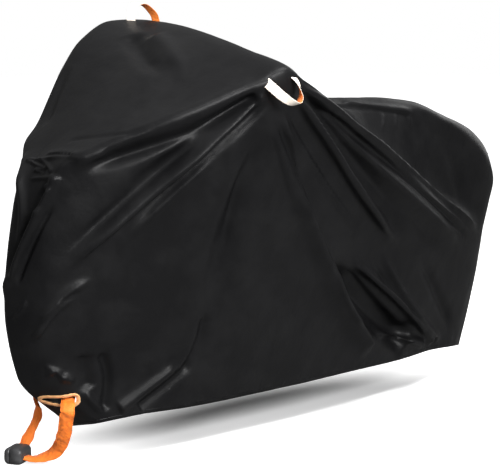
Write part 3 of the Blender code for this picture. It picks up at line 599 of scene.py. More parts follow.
# %% The draped shell
def relax(grid, times, amount=0.5):
    """Ease the grid, with the nose and tail seams kept closed."""
    for _ in range(times):
        a = grid.copy()
        a[:, 1:-1] += amount * (0.5 * (grid[:, 2:] + grid[:, :-2]) - grid[:, 1:-1])
        b = a.copy()
        b[1:-1] += amount * (0.5 * (a[2:] + a[:-2]) - a[1:-1])
        for end, inner in ((0, 1), (-1, -2)):
            side = 0.5 * (a[inner] + a[inner][::-1])
            b[end] = a[end] + amount * (side - a[end])
            b[end] = 0.5 * (b[end] + b[end][::-1])
        grid = b
    return grid


def outward(grid):
    """Unit normals of the grid, away from the hollow."""
    du, dv = np.gradient(grid, axis=0), np.gradient(grid, axis=1)
    du[0] = grid[1] - grid[1][::-1]
    du[-1] = grid[-2][::-1] - grid[-2]
    n = np.cross(du, dv)
    return n / np.maximum(np.linalg.norm(n, axis=2, keepdims=True), 1e-12)


def shell_grid(columns, rows, ease=3):
    """The draped shell without its folds, heights above the floor."""
    u, v = np.linspace(0, 1, columns + 1), np.linspace(0, 1, rows + 1)
    lines = [smooth_through([r[0] for r in t], [r[1:] for r in t], u)
             for _, t in LINES]
    grid = smooth_through([k for k, _ in LINES], np.stack(lines), v)
    return relax(np.swapaxes(grid, 0, 1).copy(), ease)


print("shell of", shell_grid(40, 30).shape[:2], "points drawn as a test")

# %% [markdown]
# A fold is a soft ridge or trough along a curve on the shell. Each row says
# from which side it is seen, three places that its curve runs through, how
# wide it is at both ends, whether it leans, how high it stands, and over what
# share of its length it fades in and out. The first rows are the main folds,
# which the solids have too, and the last ones are the fine creases.

# %% The folds
FOLDS = (
    ('front edge', 'near', -0.50, 0.82, -0.33, 0.92, -0.03, 1.045,
     0.022, 0.018, 1.0, 0.010, 0.10, 0.05),
    ('under front edge', 'near', -0.06, 1.00, -0.19, 0.93, -0.49, 0.82,
     0.014, 0.022, 0.8, -0.022, 0.05, 0.25),
    ('long fold', 'near', -0.05, 1.015, -0.315, 0.75, -0.555, 0.50,
     0.011, 0.018, 1.0, 0.022, 0.06, 0.35),
    ('above long fold', 'near', -0.07, 1.01, -0.255, 0.865, -0.435, 0.685,
     0.014, 0.022, 1.0, -0.015, 0.05, 0.40),
    ('below long fold', 'near', -0.04, 0.995, -0.22, 0.81, -0.40, 0.635,
     0.012, 0.020, 1.0, -0.015, 0.10, 0.40),
    ('back fold', 'near', 0.04, 1.01, 0.28, 0.84, 0.765, 0.505,
     0.011, 0.018, 1.0, 0.024, 0.05, 0.30),
    ('left of back fold', 'near', 0.02, 0.975, 0.21, 0.815, 0.635, 0.53,
     0.012, 0.022, 1.0, -0.015, 0.10, 0.30),
    ('right of back fold', 'near', 0.07, 1.015, 0.365, 0.84, 0.85, 0.52,
     0.014, 0.026, 1.0, -0.015, 0.10, 0.30),
    ('rear ridge', 'near', 0.04, 1.04, 0.49, 0.86, 1.285, 0.505,
     0.011, 0.015, 1.0, 0.012, 0.05, 0.10),
    ('second rear ridge', 'near', 0.235, 0.93, 0.63, 0.735, 1.15, 0.475,
     0.012, 0.016, 1.0, 0.012, 0.30, 0.20),
    ('under second ridge', 'near', 0.345, 0.845, 0.71, 0.645, 1.125, 0.42,
     0.020, 0.030, 1.0, -0.012, 0.30, 0.30),
    ('panel edge', 'near', 0.005, 0.965, 0.305, 0.58, 0.705, 0.19,
     0.014, 0.022, 0.5, 0.026, 0.10, 0.05),
    ('loop groove', 'near', -0.005, 0.94, 0.12, 0.80, 0.23, 0.66,
     0.010, 0.012, 1.0, -0.012, 0.20, 0.30),
    ('tuck', 'near', 0.395, 0.52, 0.635, 0.33, 0.90, 0.175,
     0.022, 0.042, 1.0, -0.048, 0.25, 0.08),
    ('tuck far crest', 'near', 0.51, 0.49, 0.79, 0.325, 1.065, 0.145,
     0.012, 0.015, 1.6, 0.020, 0.15, 0.05),
    ('outer crest', 'near', 0.655, 0.51, 0.89, 0.295, 1.12, 0.145,
     0.012, 0.015, 1.0, 0.014, 0.20, 0.10),
    ('tuck roll', 'near', 0.72, 0.235, 0.845, 0.20, 1.015, 0.15,
     0.012, 0.013, 1.0, 0.024, 0.15, 0.15),
    ('nose edge', 'nose', 0.015, 0.81, 0.07, 0.675, 0.195, 0.465,
     0.013, 0.013, 1.0, 0.014, 0.03, 0.25),
    ('inside nose edge', 'nose', 0.04, 0.785, 0.10, 0.675, 0.155, 0.505,
     0.012, 0.012, 1.0, -0.012, 0.10, 0.20),
    ('nose crease', 'nose', 0.22, 0.855, 0.13, 0.72, 0.14, 0.575,
     0.012, 0.012, 1.0, 0.010, 0.10, 0.30),
    ('panel trough', 'near', -0.03, 0.925, -0.07, 0.685, -0.075, 0.385,
     0.020, 0.035, 1.0, -0.014, 0.20, 0.20),
    ('panel swell', 'near', -0.065, 0.945, -0.14, 0.645, -0.165, 0.365,
     0.030, 0.050, 1.0, 0.010, 0.20, 0.30),
    ('low trough', 'near', -0.085, 0.41, -0.085, 0.315, -0.12, 0.23,
     0.014, 0.018, 1.0, -0.012, 0.20, 0.20),
    ('low ridge', 'near', -0.14, 0.27, -0.235, 0.205, -0.315, 0.155,
     0.015, 0.020, 1.0, 0.015, 0.20, 0.05),
    ('beside low ridge', 'near', -0.09, 0.26, -0.18, 0.195, -0.25, 0.15,
     0.015, 0.018, 1.0, -0.013, 0.15, 0.05),
    ('foot hollow', 'near', -0.43, 0.33, -0.425, 0.28, -0.41, 0.22,
     0.025, 0.025, 1.0, -0.014, 0.20, 0.20),
    ('foot crescent', 'near', -0.39, 0.33, -0.355, 0.245, -0.36, 0.155,
     0.014, 0.016, 1.0, -0.016, 0.15, 0.10),
    ('low crease', 'near', -0.415, 0.535, -0.51, 0.47, -0.55, 0.36,
     0.012, 0.012, 1.0, 0.010, 0.25, 0.15),
    ('face trough', 'nose', 0.21, 1.17, 0.115, 1.12, -0.035, 1.055,
     0.030, 0.022, 1.0, -0.014, 0.10, 0.40),
    ('face swell', 'nose', 0.15, 1.168, 0.02, 1.115, -0.085, 1.05,
     0.025, 0.022, 1.0, 0.009, 0.10, 0.40),
    ('seat rim', 'near', 0.51, 0.97, 0.69, 0.95, 0.86, 0.93,
     0.012, 0.014, 1.0, 0.009, 0.10, 0.20),
    ('seat hollow', 'near', 0.46, 0.955, 0.50, 0.92, 0.54, 0.87,
     0.020, 0.020, 1.0, -0.012, 0.20, 0.20),
    ('tail hollow', 'near', 0.99, 0.87, 1.11, 0.75, 1.19, 0.61,
     0.030, 0.030, 1.0, -0.010, 0.30, 0.30),
    ('tail trough', 'near', 0.865, 0.475, 1.03, 0.33, 1.185, 0.175,
     0.018, 0.022, 1.0, -0.010, 0.30, 0.20),
    ('far long fold', 'far', 0.00, 1.12, -0.13, 0.85, -0.26, 0.52,
     0.014, 0.024, 1.0, 0.018, 0.10, 0.40),
    ('far middle fold', 'far', 0.03, 1.12, 0.16, 0.75, 0.24, 0.35,
     0.014, 0.030, 1.0, 0.018, 0.10, 0.30),
    ('far middle trough', 'far', 0.01, 1.05, 0.08, 0.72, 0.10, 0.38,
     0.018, 0.036, 1.0, -0.016, 0.15, 0.30),
    ('far back fold', 'far', 0.06, 1.14, 0.46, 0.80, 0.84, 0.42,
     0.013, 0.024, 1.0, 0.020, 0.08, 0.30),
    ('far back trough', 'far', 0.10, 1.06, 0.42, 0.74, 0.74, 0.38,
     0.018, 0.034, 1.0, -0.016, 0.12, 0.30),
    ('far rear ridge', 'far', 0.10, 1.13, 0.60, 0.85, 1.20, 0.55,
     0.013, 0.018, 1.0, 0.012, 0.08, 0.15))
CREASES = (
    ('panel by the back fold', 'near', 0.02, 0.975, 0.21, 0.815, 0.635, 0.53,
     0.012, 0.022, 1.0, 0.011, 0.10, 0.30),
    ('blob by the slot', 'near', -0.485, 0.275, -0.465, 0.262, -0.445, 0.255,
     0.012, 0.010, 1.0, 0.009, 0.30, 0.30),
    ('upper blob', 'near', -0.525, 0.30, -0.515, 0.295, -0.50, 0.29,
     0.007, 0.007, 1.0, 0.006, 0.30, 0.30),
    ('rear ridge groove', 'near', 0.145, 0.98, 0.49, 0.835, 1.19, 0.495,
     0.008, 0.010, 1.0, -0.011, 0.10, 0.15),
    ('crest groove', 'near', 0.62, 0.48, 0.835, 0.31, 1.09, 0.145,
     0.008, 0.008, 1.0, -0.009, 0.15, 0.05),
    ('panel dent', 'near', -0.065, 0.83, -0.065, 0.70, -0.06, 0.565,
     0.012, 0.012, 1.0, -0.005, 0.25, 0.25),
    ('slot crumple', 'near', -0.52, 0.265, -0.505, 0.285, -0.475, 0.245,
     0.008, 0.008, 1.0, 0.010, 0.25, 0.25),
    ('foot crumple', 'near', -0.42, 0.225, -0.395, 0.19, -0.355, 0.16,
     0.010, 0.010, 1.0, 0.010, 0.25, 0.25),
    ('low crease groove', 'near', -0.44, 0.51, -0.52, 0.455, -0.56, 0.38,
     0.006, 0.006, 1.0, -0.007, 0.25, 0.25),
    ('lower crease', 'near', -0.46, 0.49, -0.535, 0.425, -0.555, 0.36,
     0.008, 0.008, 1.0, 0.008, 0.25, 0.25),
    ('face side', 'nose', 0.28, 1.085, 0.265, 1.0, 0.22, 0.915,
     0.018, 0.018, 1.0, -0.008, 0.25, 0.25),
    ('edge line', 'nose', 0.04, 0.735, 0.09, 0.635, 0.145, 0.515,
     0.007, 0.007, 1.0, 0.009, 0.15, 0.15),
    ('edge line groove', 'nose', 0.02, 0.73, 0.07, 0.635, 0.125, 0.51,
     0.007, 0.008, 1.0, -0.008, 0.15, 0.15),
    ('first crossing crease', 'near', -0.565, 0.48, -0.57, 0.455, -0.58, 0.42,
     0.006, 0.006, 1.0, 0.006, 0.25, 0.25),
    ('second crossing crease', 'near', -0.50, 0.48, -0.53, 0.45, -0.55, 0.425,
     0.006, 0.006, 1.0, 0.006, 0.25, 0.25),
    ('tuck left edge', 'near', 0.36, 0.555, 0.455, 0.415, 0.605, 0.27,
     0.008, 0.010, 1.0, 0.010, 0.15, 0.15),
    ('first seat pucker', 'near', 0.695, 0.935, 0.685, 0.91, 0.66, 0.87,
     0.007, 0.009, 1.0, 0.005, 0.10, 0.60),
    ('second seat pucker', 'near', 0.75, 0.93, 0.75, 0.91, 0.755, 0.875,
     0.007, 0.009, 1.0, 0.005, 0.10, 0.60),
    ('third seat pucker', 'near', 0.815, 0.925, 0.82, 0.905, 0.83, 0.88,
     0.007, 0.009, 1.0, 0.005, 0.10, 0.60),
    ('corner crinkle one', 'near', -0.52, 0.80, -0.50, 0.835, -0.475, 0.865,
     0.005, 0.005, 1.0, 0.006, 0.15, 0.20),
    ('corner crinkle two', 'nose', 0.03, 0.81, 0.08, 0.83, 0.13, 0.84,
     0.005, 0.006, 1.0, 0.006, 0.10, 0.20),
    ('corner crinkle three', 'nose', 0.025, 0.80, 0.08, 0.795, 0.13, 0.79,
     0.005, 0.006, 1.0, 0.005, 0.10, 0.25),
    ('corner crinkle four', 'nose', 0.03, 0.785, 0.065, 0.745, 0.095, 0.70,
     0.006, 0.007, 1.0, 0.007, 0.10, 0.25),
    ('corner crinkle five', 'nose', 0.02, 0.775, 0.04, 0.735, 0.06, 0.69,
     0.005, 0.006, 1.0, 0.006, 0.10, 0.25),
    ('line over the crest', 'near', -0.46, 0.885, -0.42, 0.90, -0.30, 0.93,
     0.006, 0.008, 1.0, -0.004, 0.15, 0.40),
    ('long fold line', 'near', -0.165, 0.90, -0.33, 0.73, -0.50, 0.56,
     0.008, 0.009, 1.0, 0.009, 0.20, 0.35),
    ('above the long fold line', 'near', -0.195, 0.91, -0.345, 0.76, -0.51, 0.595,
     0.012, 0.012, 1.0, -0.011, 0.20, 0.40),
    ('below the long fold line', 'near', -0.165, 0.88, -0.325, 0.715, -0.49, 0.545,
     0.006, 0.008, 1.0, -0.006, 0.20, 0.35),
    ('beyond the long fold', 'near', -0.15, 0.85, -0.27, 0.72, -0.37, 0.605,
     0.009, 0.010, 1.0, 0.006, 0.25, 0.40),
    ('back fold line', 'near', 0.06, 1.00, 0.325, 0.80, 0.74, 0.52,
     0.010, 0.015, 1.0, 0.010, 0.10, 0.30),
    ('behind the back fold', 'near', 0.115, 0.99, 0.40, 0.795, 0.815, 0.53,
     0.014, 0.024, 1.0, -0.013, 0.10, 0.30),
    ('rear ridge line', 'near', 0.08, 1.03, 0.63, 0.81, 1.29, 0.51,
     0.007, 0.007, 1.0, 0.007, 0.10, 0.12),
    ('second rear line', 'near', 0.66, 0.76, 0.93, 0.64, 1.22, 0.51,
     0.006, 0.006, 1.0, 0.005, 0.30, 0.20),
    ('loop groove line', 'near', -0.005, 0.935, 0.085, 0.835, 0.21, 0.69,
     0.007, 0.009, 1.0, -0.009, 0.20, 0.35),
    ('loop groove ridge', 'near', -0.015, 0.92, 0.055, 0.83, 0.175, 0.685,
     0.007, 0.009, 1.0, 0.006, 0.20, 0.35),
    ('crest tuck line', 'near', 0.585, 0.45, 0.81, 0.315, 1.095, 0.14,
     0.008, 0.008, 1.0, 0.009, 0.20, 0.15),
    ('tuck shade', 'near', 0.47, 0.495, 0.69, 0.33, 0.925, 0.18,
     0.026, 0.030, 1.0, -0.015, 0.20, 0.12),
    ('tuck left shade', 'near', 0.425, 0.485, 0.545, 0.365, 0.76, 0.22,
     0.016, 0.018, 1.0, -0.009, 0.2, 0.15),
    ('under the seat rim', 'near', 0.245, 0.97, 0.655, 0.945, 0.85, 0.915,
     0.006, 0.006, 1.0, -0.007, 0.15, 0.15),
    ('corner swell', 'near', -0.49, 0.85, -0.485, 0.85, -0.41, 0.87,
     0.016, 0.014, 1.0, 0.006, 0.15, 0.3))
print(len(FOLDS), "folds and", len(CREASES), "creases")

# %% [markdown]
# To lay a fold, its curve is dropped onto the shell, and every grid point near
# it is pushed out or in along the shell's own direction by a bell-shaped
# amount. The places are read as one sees them from the near side, the far
# side or the nose, so each one is looked up as the point that shows there.

# %% Lay the folds
def seen_from(side, grid, normal, a, b):
    """Place and normal of the shell at (x, z) seen from the near or far
    side, or at (y, z) seen from the nose."""
    first, look = {'near': (0, (0, -1, 0)), 'far': (0, (0, 1, 0)),
                   'nose': (1, (-1, 0, 0))}[side]
    facing = normal @ np.array(look, float) > 0.05
    d = (grid[..., first] - a)**2 + (grid[..., 2] - b)**2
    d = np.where(facing, d, 9.0)
    i, j = np.unravel_index(np.argmin(d), d.shape)
    p, n = grid[i, j], normal[i, j]
    q = np.array((a, 0.0, b)) if first == 0 else np.array((0.0, a, b))
    depth = 1 - first
    rest = [k for k in (0, 1, 2) if k != depth]
    q[depth] = p[depth] - sum(n[k] * (q[k] - p[k]) for k in rest) / n[depth]
    return (q if np.linalg.norm(q - p) < 0.03 else p), n


def fold_path(side, grid, normal, points, steps=28):
    """Curve through three places on the shell, laid on its surface."""
    p = np.array(points, float).reshape(-1, 2)
    chord = np.concatenate([[0], np.cumsum(np.linalg.norm(np.diff(p, axis=0), axis=1))])
    mid = chord[1] / chord[2]
    t = np.linspace(0, 1, steps)[:, None]
    curve = (p[0] * (t - mid) * (t - 1) / mid + p[2] * t * (t - mid) / (1 - mid)
             - p[1] * t * (t - 1) / (mid * (1 - mid)))
    laid = [seen_from(side, grid, normal, *q) for q in curve]
    place = np.array([q for q, _ in laid])
    face = np.array([n for _, n in laid])
    for _ in range(2):
        place[1:-1] = 0.5 * place[1:-1] + 0.25 * (place[2:] + place[:-2])
    return place, face


def add_folds(grid, folds):
    """Push the shell out along ridges and in along troughs."""
    normal = outward(grid)
    push = np.zeros(grid.shape[:2])
    for name, side, x0, z0, x1, z1, x2, z2, w0, w1, lean, height, fade0, fade1 in folds:
        place, face = fold_path(side, grid, normal, (x0, z0, x1, z1, x2, z2))
        reach = 3.2 * max(w0, w1) * max(lean, 1 / lean)
        low, high = place.min(0) - reach, place.max(0) + reach
        near = np.all((grid > low) & (grid < high), axis=2)
        pts = grid[near]
        best = np.full(len(pts), 9.0)
        along = np.zeros(len(pts))
        sign = np.ones(len(pts))
        for k in range(len(place) - 1):
            a, ab = place[k], place[k + 1] - place[k]
            t = np.clip(((pts - a) @ ab) / max(ab @ ab, 1e-12), 0, 1)
            off = pts - (a + t[:, None] * ab)
            d = np.linalg.norm(off, axis=1)
            closer = d < best
            best[closer] = d[closer]
            along[closer] = (k + t[closer]) / (len(place) - 1)
            across = np.cross(face[k], ab)
            sign[closer] = np.sign(off[closer] @ across)
        width = w0 + (w1 - w0) * along
        width = np.where(sign > 0, width * lean, width / lean)
        level = height * np.exp(-(best / width)**2)
        for fade, t in ((fade0, along), (fade1, 1 - along)):
            if fade > 0:
                s = np.clip(t / fade, 0, 1)
                level *= s * s * (3 - 2 * s)
        level = np.where(normal[near] @ face.mean(0) > -0.2, level, 0)
        push[near] += level
    push[0] = 0.5 * (push[0] + push[0][::-1])
    push[-1] = 0.5 * (push[-1] + push[-1][::-1])
    return grid + normal * push[..., None]


print("fold tools ready")

# %% [markdown]
# Cloth between its folds is never quite smooth. A little noise, stretched
# along the fall of the cloth, gives the slack places their unevenness; it is
# only a millimetre high, so that the placed folds stay the main thing.

# %% Draw the shell with folds, creases and slack
COLUMNS, ROWS = 520, 400


def slack(grid, height=0.0011):
    """How far slack cloth stands out at each grid point."""
    spots = grid.reshape(-1, 3)
    broad = [noise.noise(Vector((x * 9, y * 9, z * 5))) for x, y, z in spots]
    fine = [noise.noise(Vector((x * 26 + 7, y * 26, z * 15))) for x, y, z in spots]
    return (height * (np.array(broad) + 0.5 * np.array(fine))).reshape(grid.shape[:2])


shell = shell_grid(COLUMNS, ROWS, ease=7)
shell = add_folds(add_folds(shell, FOLDS), CREASES)
shell += outward(shell) * slack(shell)[..., None]
shell[..., 2] -= CREST_HEIGHT
hem_length = float(np.linalg.norm(np.diff(shell[:, 0], axis=0), axis=1).sum())
print("near hem", round(hem_length, 2), "m long")

# %% [markdown]
# The sheet starts as Blender's own grid, whose points move onto the shell.
# Its UV map holds metres along the crest and across from hem to hem, and a
# second map holds the distance from the nearer hem, which the hem's turned
# band is drawn by. Decimate then spends its triangles where the cloth bends.

# %% The cloth as a sheet
def lengths(line):
    """Running length along a line of points."""
    steps = np.linalg.norm(np.diff(line, axis=0), axis=1)
    return np.concatenate([[0.0], np.cumsum(steps)])


def sheet_of(shell):
    bm = bmesh.new()
    bmesh.ops.create_grid(bm, x_segments=COLUMNS, y_segments=ROWS, size=0.5)
    spots = [(round((v.co.x + 0.5) * COLUMNS), round((v.co.y + 0.5) * ROWS)) for v in bm.verts]
    along = lengths(shell[:, ROWS // 2])
    across = np.array([lengths(column) for column in shell])
    hem_way = lengths(shell[:, 0])
    threads = bm.loops.layers.uv.new("cloth")
    band = bm.loops.layers.uv.new("hem")
    for f in bm.faces:
        for loop in f.loops:
            i, j = spots[loop.vert.index]
            loop[threads].uv = (along[i], across[i, j])
            loop[band].uv = (hem_way[i], min(across[i, j], across[i, -1] - across[i, j]))
    for v, (i, j) in zip(bm.verts, spots):
        v.co = shell[i, j]
    bmesh.ops.remove_doubles(bm, verts=bm.verts, dist=0.00005)
    bmesh.ops.recalc_face_normals(bm, faces=bm.faces)
    return bm


def with_modifiers(obj):
    """The object's mesh with its modifiers applied."""
    bpy.context.view_layer.update()
    graph = bpy.context.evaluated_depsgraph_get()
    mesh = bpy.data.meshes.new_from_object(obj.evaluated_get(graph), depsgraph=graph)
    obj.modifiers.clear()
    obj.data = mesh
    return mesh


cover = finished("cover", sheet_of(shell), COATED)
thin = cover.modifiers.new("thin out", "DECIMATE")
thin.ratio = 94000 / (2.0 * COLUMNS * ROWS)
with_modifiers(cover)
probe_bm = bmesh.new()
probe_bm.from_mesh(cover.data)
probe = BVHTree.FromBMesh(probe_bm)
cloth_area = sum(f.calc_area() for f in probe_bm.faces)
probe_bm.free()
print("cloth", round(cloth_area, 2), "m2 in", len(cover.data.polygons), "faces")

# %% [markdown]
# ## Slots and their bindings
#
# Each slot is an oval hole near the floor, its edge wrapped in folded tape
# that is sewn through. The oval is dropped onto the cloth, so that the tape
# follows the cloth's bend. The same oval makes the cutter for the hole.

# %% Ovals on the cloth
SLOTS = (
    # place near the cloth, long way along it
    ('near', (-0.468, 0.092, 0.200), (0.62, -0.79, 0.06)),
    ('far', (-0.440, 0.236, 0.200), (0.62, 0.79, 0.06)))


def slot_oval(place, long_way, long_half, high_half, steps=72):
    """Oval laid on the cloth: its places, and the way that the cloth looks."""
    middle, face, _, _ = probe.find_nearest(Vector(place) - Vector((0, 0, CREST_HEIGHT)))
    if face.dot(middle - Vector((0.4, 0.2, -0.7))) < 0:
        face = -face
    long_way = (Vector(long_way) - Vector(long_way).dot(face) * face).normalized()
    high_way = face.cross(long_way)
    ring = []
    for k in range(steps):
        turn = 2 * math.pi * k / steps
        c, s = math.cos(turn), math.sin(turn)
        blunt, full = (0.50, 0.60) if c > 0 else (0.90, 1.00)
        spot = (middle + long_way * long_half * math.copysign(abs(c)**blunt, c)
                + high_way * high_half * math.copysign(abs(s)**full, s))
        hit, _, _, _ = probe.ray_cast(spot + face * 0.08, -face, 0.2)
        ring.append(hit if hit is not None else probe.find_nearest(spot)[0])
    for _ in range(8):
        ring = [0.5 * ring[k] + 0.25 * (ring[k - 1] + ring[(k + 1) % steps])
                for k in range(steps)]
    return ring, face


OVALS = {name: slot_oval(place, way, SLOT_LONG / 2 + BINDING_WIDE / 2,
                         SLOT_HIGH / 2 + BINDING_WIDE / 2)
         for name, place, way in SLOTS}
print("slots:", {n: round(lengths(np.array(r))[-1], 3) for n, (r, _) in OVALS.items()}, "m round")

# %% [markdown]
# The tape is one flat outline carried round the oval and closed on itself.
# Sewing pulls it in at every stitch, so its thickness ripples a little.

# %% Bind the slots
def tape_round(name, ring, face):
    places = np.array([*ring, ring[0]])
    way = np.roll(places[:-1], -1, axis=0) - np.roll(places[:-1], 1, axis=0)
    way = np.array([*way, way[0]])
    way /= np.linalg.norm(way, axis=1, keepdims=True)
    up = np.array(face) - (way @ np.array(face))[:, None] * way
    up /= np.linalg.norm(up, axis=1, keepdims=True)
    side = np.cross(way, up)
    flat = rounded_outline(BINDING_WIDE, BINDING_THICK, 16, 0.7)
    flat[:, 0] = np.where(flat[:, 0] > 0, flat[:, 0] * 1.7, flat[:, 0])
    ripple = 1 + 0.05 * np.sin(np.arange(len(places)) * 2 * np.pi * 20 / (len(places) - 1))
    outlines = flat[None] * ripple[:, None, None]
    bm = swept(places - up * CLOTH_THICK / 2, side, up, outlines, closed=True)
    return finished(name, bm, BINDING), places, up


BINDINGS = {name: tape_round(name + "_slot_tape", *OVALS[name]) for name in OVALS}
print("bindings:", [obj.name for obj, _, _ in BINDINGS.values()])

# %% [markdown]
# The cloth gets its thickness inwards, so its outer face stays on the drawn
# shell, and then the two holes. The exact Boolean keeps the cut edge clean.

# %% Thickness and slot holes
def hole_cutter(name, ring, face):
    bm = bmesh.new()
    rim = [bm.verts.new(p - face * 0.03) for p in ring]
    floor_face = bm.faces.new(rim)
    made = bmesh.ops.extrude_face_region(bm, geom=[floor_face])["geom"]
    lifted = [g for g in made if isinstance(g, bmesh.types.BMVert)]
    bmesh.ops.translate(bm, vec=face * 0.06, verts=lifted)
    bmesh.ops.recalc_face_normals(bm, faces=bm.faces)
    cutter = finished(name + "_hole_cutter", bm)
    cutter.hide_render = True
    return cutter


wall = cover.modifiers.new("thickness", "SOLIDIFY")
wall.thickness = CLOTH_THICK
wall.offset = -1
wall.use_even_offset = False
cutters = [hole_cutter(name, *OVALS[name]) for name in OVALS]
for cutter in cutters:
    cut = cover.modifiers.new(cutter.name, "BOOLEAN")
    cut.operation, cut.solver, cut.object = "DIFFERENCE", "EXACT", cutter
with_modifiers(cover)
for cutter in cutters:
    bpy.data.objects.remove(cutter)
cover.data.shade_smooth()
print("cover:", sum(len(p.vertices) - 2 for p in cover.data.polygons), "triangles")

# %% [markdown]
# ## Hanging loops
#
# Each loop is a piece of flat webbing, sewn under the cloth's edge and bent
# over. Its outer face is woven bright so that lamps light it up, and its
# inner face is plain orange, which shows where the webbing turns over.

# %% The two loops
NEAR_LOOP = (
    # x, y, height, face x, y, z
    (-0.060, -0.272, 1.046, -0.60, -0.78, 0.10),
    (-0.053, -0.296, 1.028, -0.60, -0.78, -0.05),
    (-0.037, -0.318, 1.005, -0.52, -0.75, -0.35),
    (-0.018, -0.332, 0.989, -0.25, -0.55, -0.80),
    (0.002, -0.333, 0.984, 0.25, -0.25, -0.93),
    (0.018, -0.327, 0.995, 0.80, -0.20, -0.55),
    (0.027, -0.317, 1.018, 0.70, -0.70, -0.20),
    (0.030, -0.305, 1.040, 0.30, -0.95, 0.00),
    (0.026, -0.284, 1.060, 0.20, -0.90, 0.30))
FAR_LOOP = (
    (-0.050, 0.296, 1.200, -0.75, -0.50, 0.20),
    (-0.053, 0.298, 1.222, -0.75, -0.50, 0.15),
    (-0.047, 0.298, 1.246, -0.70, -0.45, 0.45),
    (-0.030, 0.296, 1.259, -0.30, -0.30, 0.90),
    (-0.010, 0.292, 1.256, 0.35, 0.10, 0.93),
    (0.010, 0.288, 1.242, 0.60, 0.25, 0.75),
    (0.025, 0.284, 1.222, 0.80, 0.35, 0.45),
    (0.031, 0.282, 1.190, 0.85, 0.40, 0.15))


def webbing(name, rows):
    places, side, face = along_route(rows, 14)
    flat = rounded_outline(WEB_WIDTH, WEB_THICK, 28, 0.45)
    bm = swept(places, side, face, np.repeat(flat[None], len(places), axis=0))
    column = bm.verts.layers.int["column"]
    for f in bm.faces:
        shown = sum(flat[v[column], 1] for v in f.verts) > 0
        f.material_index = 1 if shown and len(f.verts) == 4 else 0
    return finished(name, bm, ORANGE_WEB, BRIGHT_WEB)


near_loop = webbing("near_hanging_loop", NEAR_LOOP)
far_loop = webbing("far_hanging_loop", FAR_LOOP)
print("loops:", near_loop.name, far_loop.name)

# %% [markdown]
# ## The locking strap
#
# The cloth sleeve hangs round flat chain: fuller in the middle, sewn flat at
# both edges, crumpled where it bends. Its outline changes from place to place
# along the route, which a Curve object with one bevel can't do, so it is
# swept as the loops are.

# %% The sleeve
def sleeve_outline(width, thick, points=36):
    """Full in the middle, flat sewn edges: (across, out) pairs."""
    turn = np.linspace(0, 2 * np.pi, points, endpoint=False) + np.pi / points
    across = np.sign(np.cos(turn)) * np.abs(np.cos(turn))**0.8 * width / 2
    core = np.clip(1 - (across / (0.40 * width))**2, 0, 1)**0.5
    lift = np.maximum(core * thick / 2, 0.0011) * np.minimum(1, 4 * np.abs(np.sin(turn)))
    return np.stack([across, np.sign(np.sin(turn)) * lift], axis=1)


def sleeve_outlines(places):
    run = lengths(places)
    share = run / run[-1]
    width = SLEEVE_WIDTH * np.interp(share, (0, 0.06, 0.15, 0.60, 0.74, 0.80, 0.86, 0.90, 0.94, 1),
                                     (0.74, 0.92, 1.0, 1.0, 0.95, 0.98, 0.62, 0.60, 0.88, 0.74))
    thick = SLEEVE_THICK * np.interp(share, (0, 0.15, 0.60, 0.80, 0.90, 1),
                                     (0.9, 0.95, 0.95, 1.05, 1.2, 1.0))
    made = []
    for k, place in enumerate(places):
        outline = sleeve_outline(width[k], thick[k])
        for point in outline:
            spot = Vector((*(point * 55), run[k] * 38))
            fine = Vector((*(point * 120), run[k] * 95))
            push = 0.0022 * noise.noise(spot) + 0.0010 * noise.noise(fine)
            point[1] += math.copysign(push, push * point[1]) * np.sign(point[1])
            point[0] += 0.0022 * noise.noise(0.5 * fine + Vector((9, 9, 9)))
        made.append(outline)
    return np.array(made)


sleeve_outline_rows = sleeve_outlines(strap_places)
sleeve = finished("strap_sleeve", swept(strap_places, strap_side, strap_face,
                                        sleeve_outline_rows), SLEEVE_CLOTH)
print("sleeve:", len(sleeve.data.polygons), "faces")

# %% [markdown]
# ## The lock
#
# The strap's ends meet in a rounded dark case of moulded plastic. It starts
# as a cube, bevelled round. Two cuts a few millimetres apart give a band of
# faces that is pressed in as the parting groove, and one end carries a
# lighter turned ring round its key cover.

# %% The lock's case
LOCK = ((-0.520, 0.215, 0.034), (0.074, 0.056, 0.046), 30.0)


def lock_place(bm):
    place, _, turn = LOCK
    bmesh.ops.rotate(bm, cent=(0, 0, 0), verts=bm.verts,
                     matrix=Matrix.Rotation(math.radians(turn), 3, "Z"))
    bmesh.ops.translate(bm, vec=(place[0], place[1], place[2] - CREST_HEIGHT), verts=bm.verts)


def lock_case():
    bm = bmesh.new()
    bmesh.ops.create_cube(bm, size=1.0)
    bmesh.ops.scale(bm, vec=LOCK[1], verts=bm.verts)
    bmesh.ops.bevel(bm, geom=bm.edges, offset=0.015, segments=7, affect="EDGES",
                    profile=0.5, material=-1)
    groove = LOCK[1][1] / 2 - 0.019
    for y in (groove - 0.0008, groove + 0.0008):
        bmesh.ops.bisect_plane(bm, geom=[*bm.verts, *bm.edges, *bm.faces],
                               plane_co=(0, y, 0), plane_no=(0, 1, 0))
    band = [f for f in bm.faces if abs(f.calc_center_median().y - groove) < 0.0008]
    bmesh.ops.inset_region(bm, faces=band, thickness=0.0002, depth=-0.0009,
                           use_even_offset=True)
    bmesh.ops.recalc_face_normals(bm, faces=bm.faces)
    lock_place(bm)
    return finished("lock_body", bm, LOCK_SKIN)


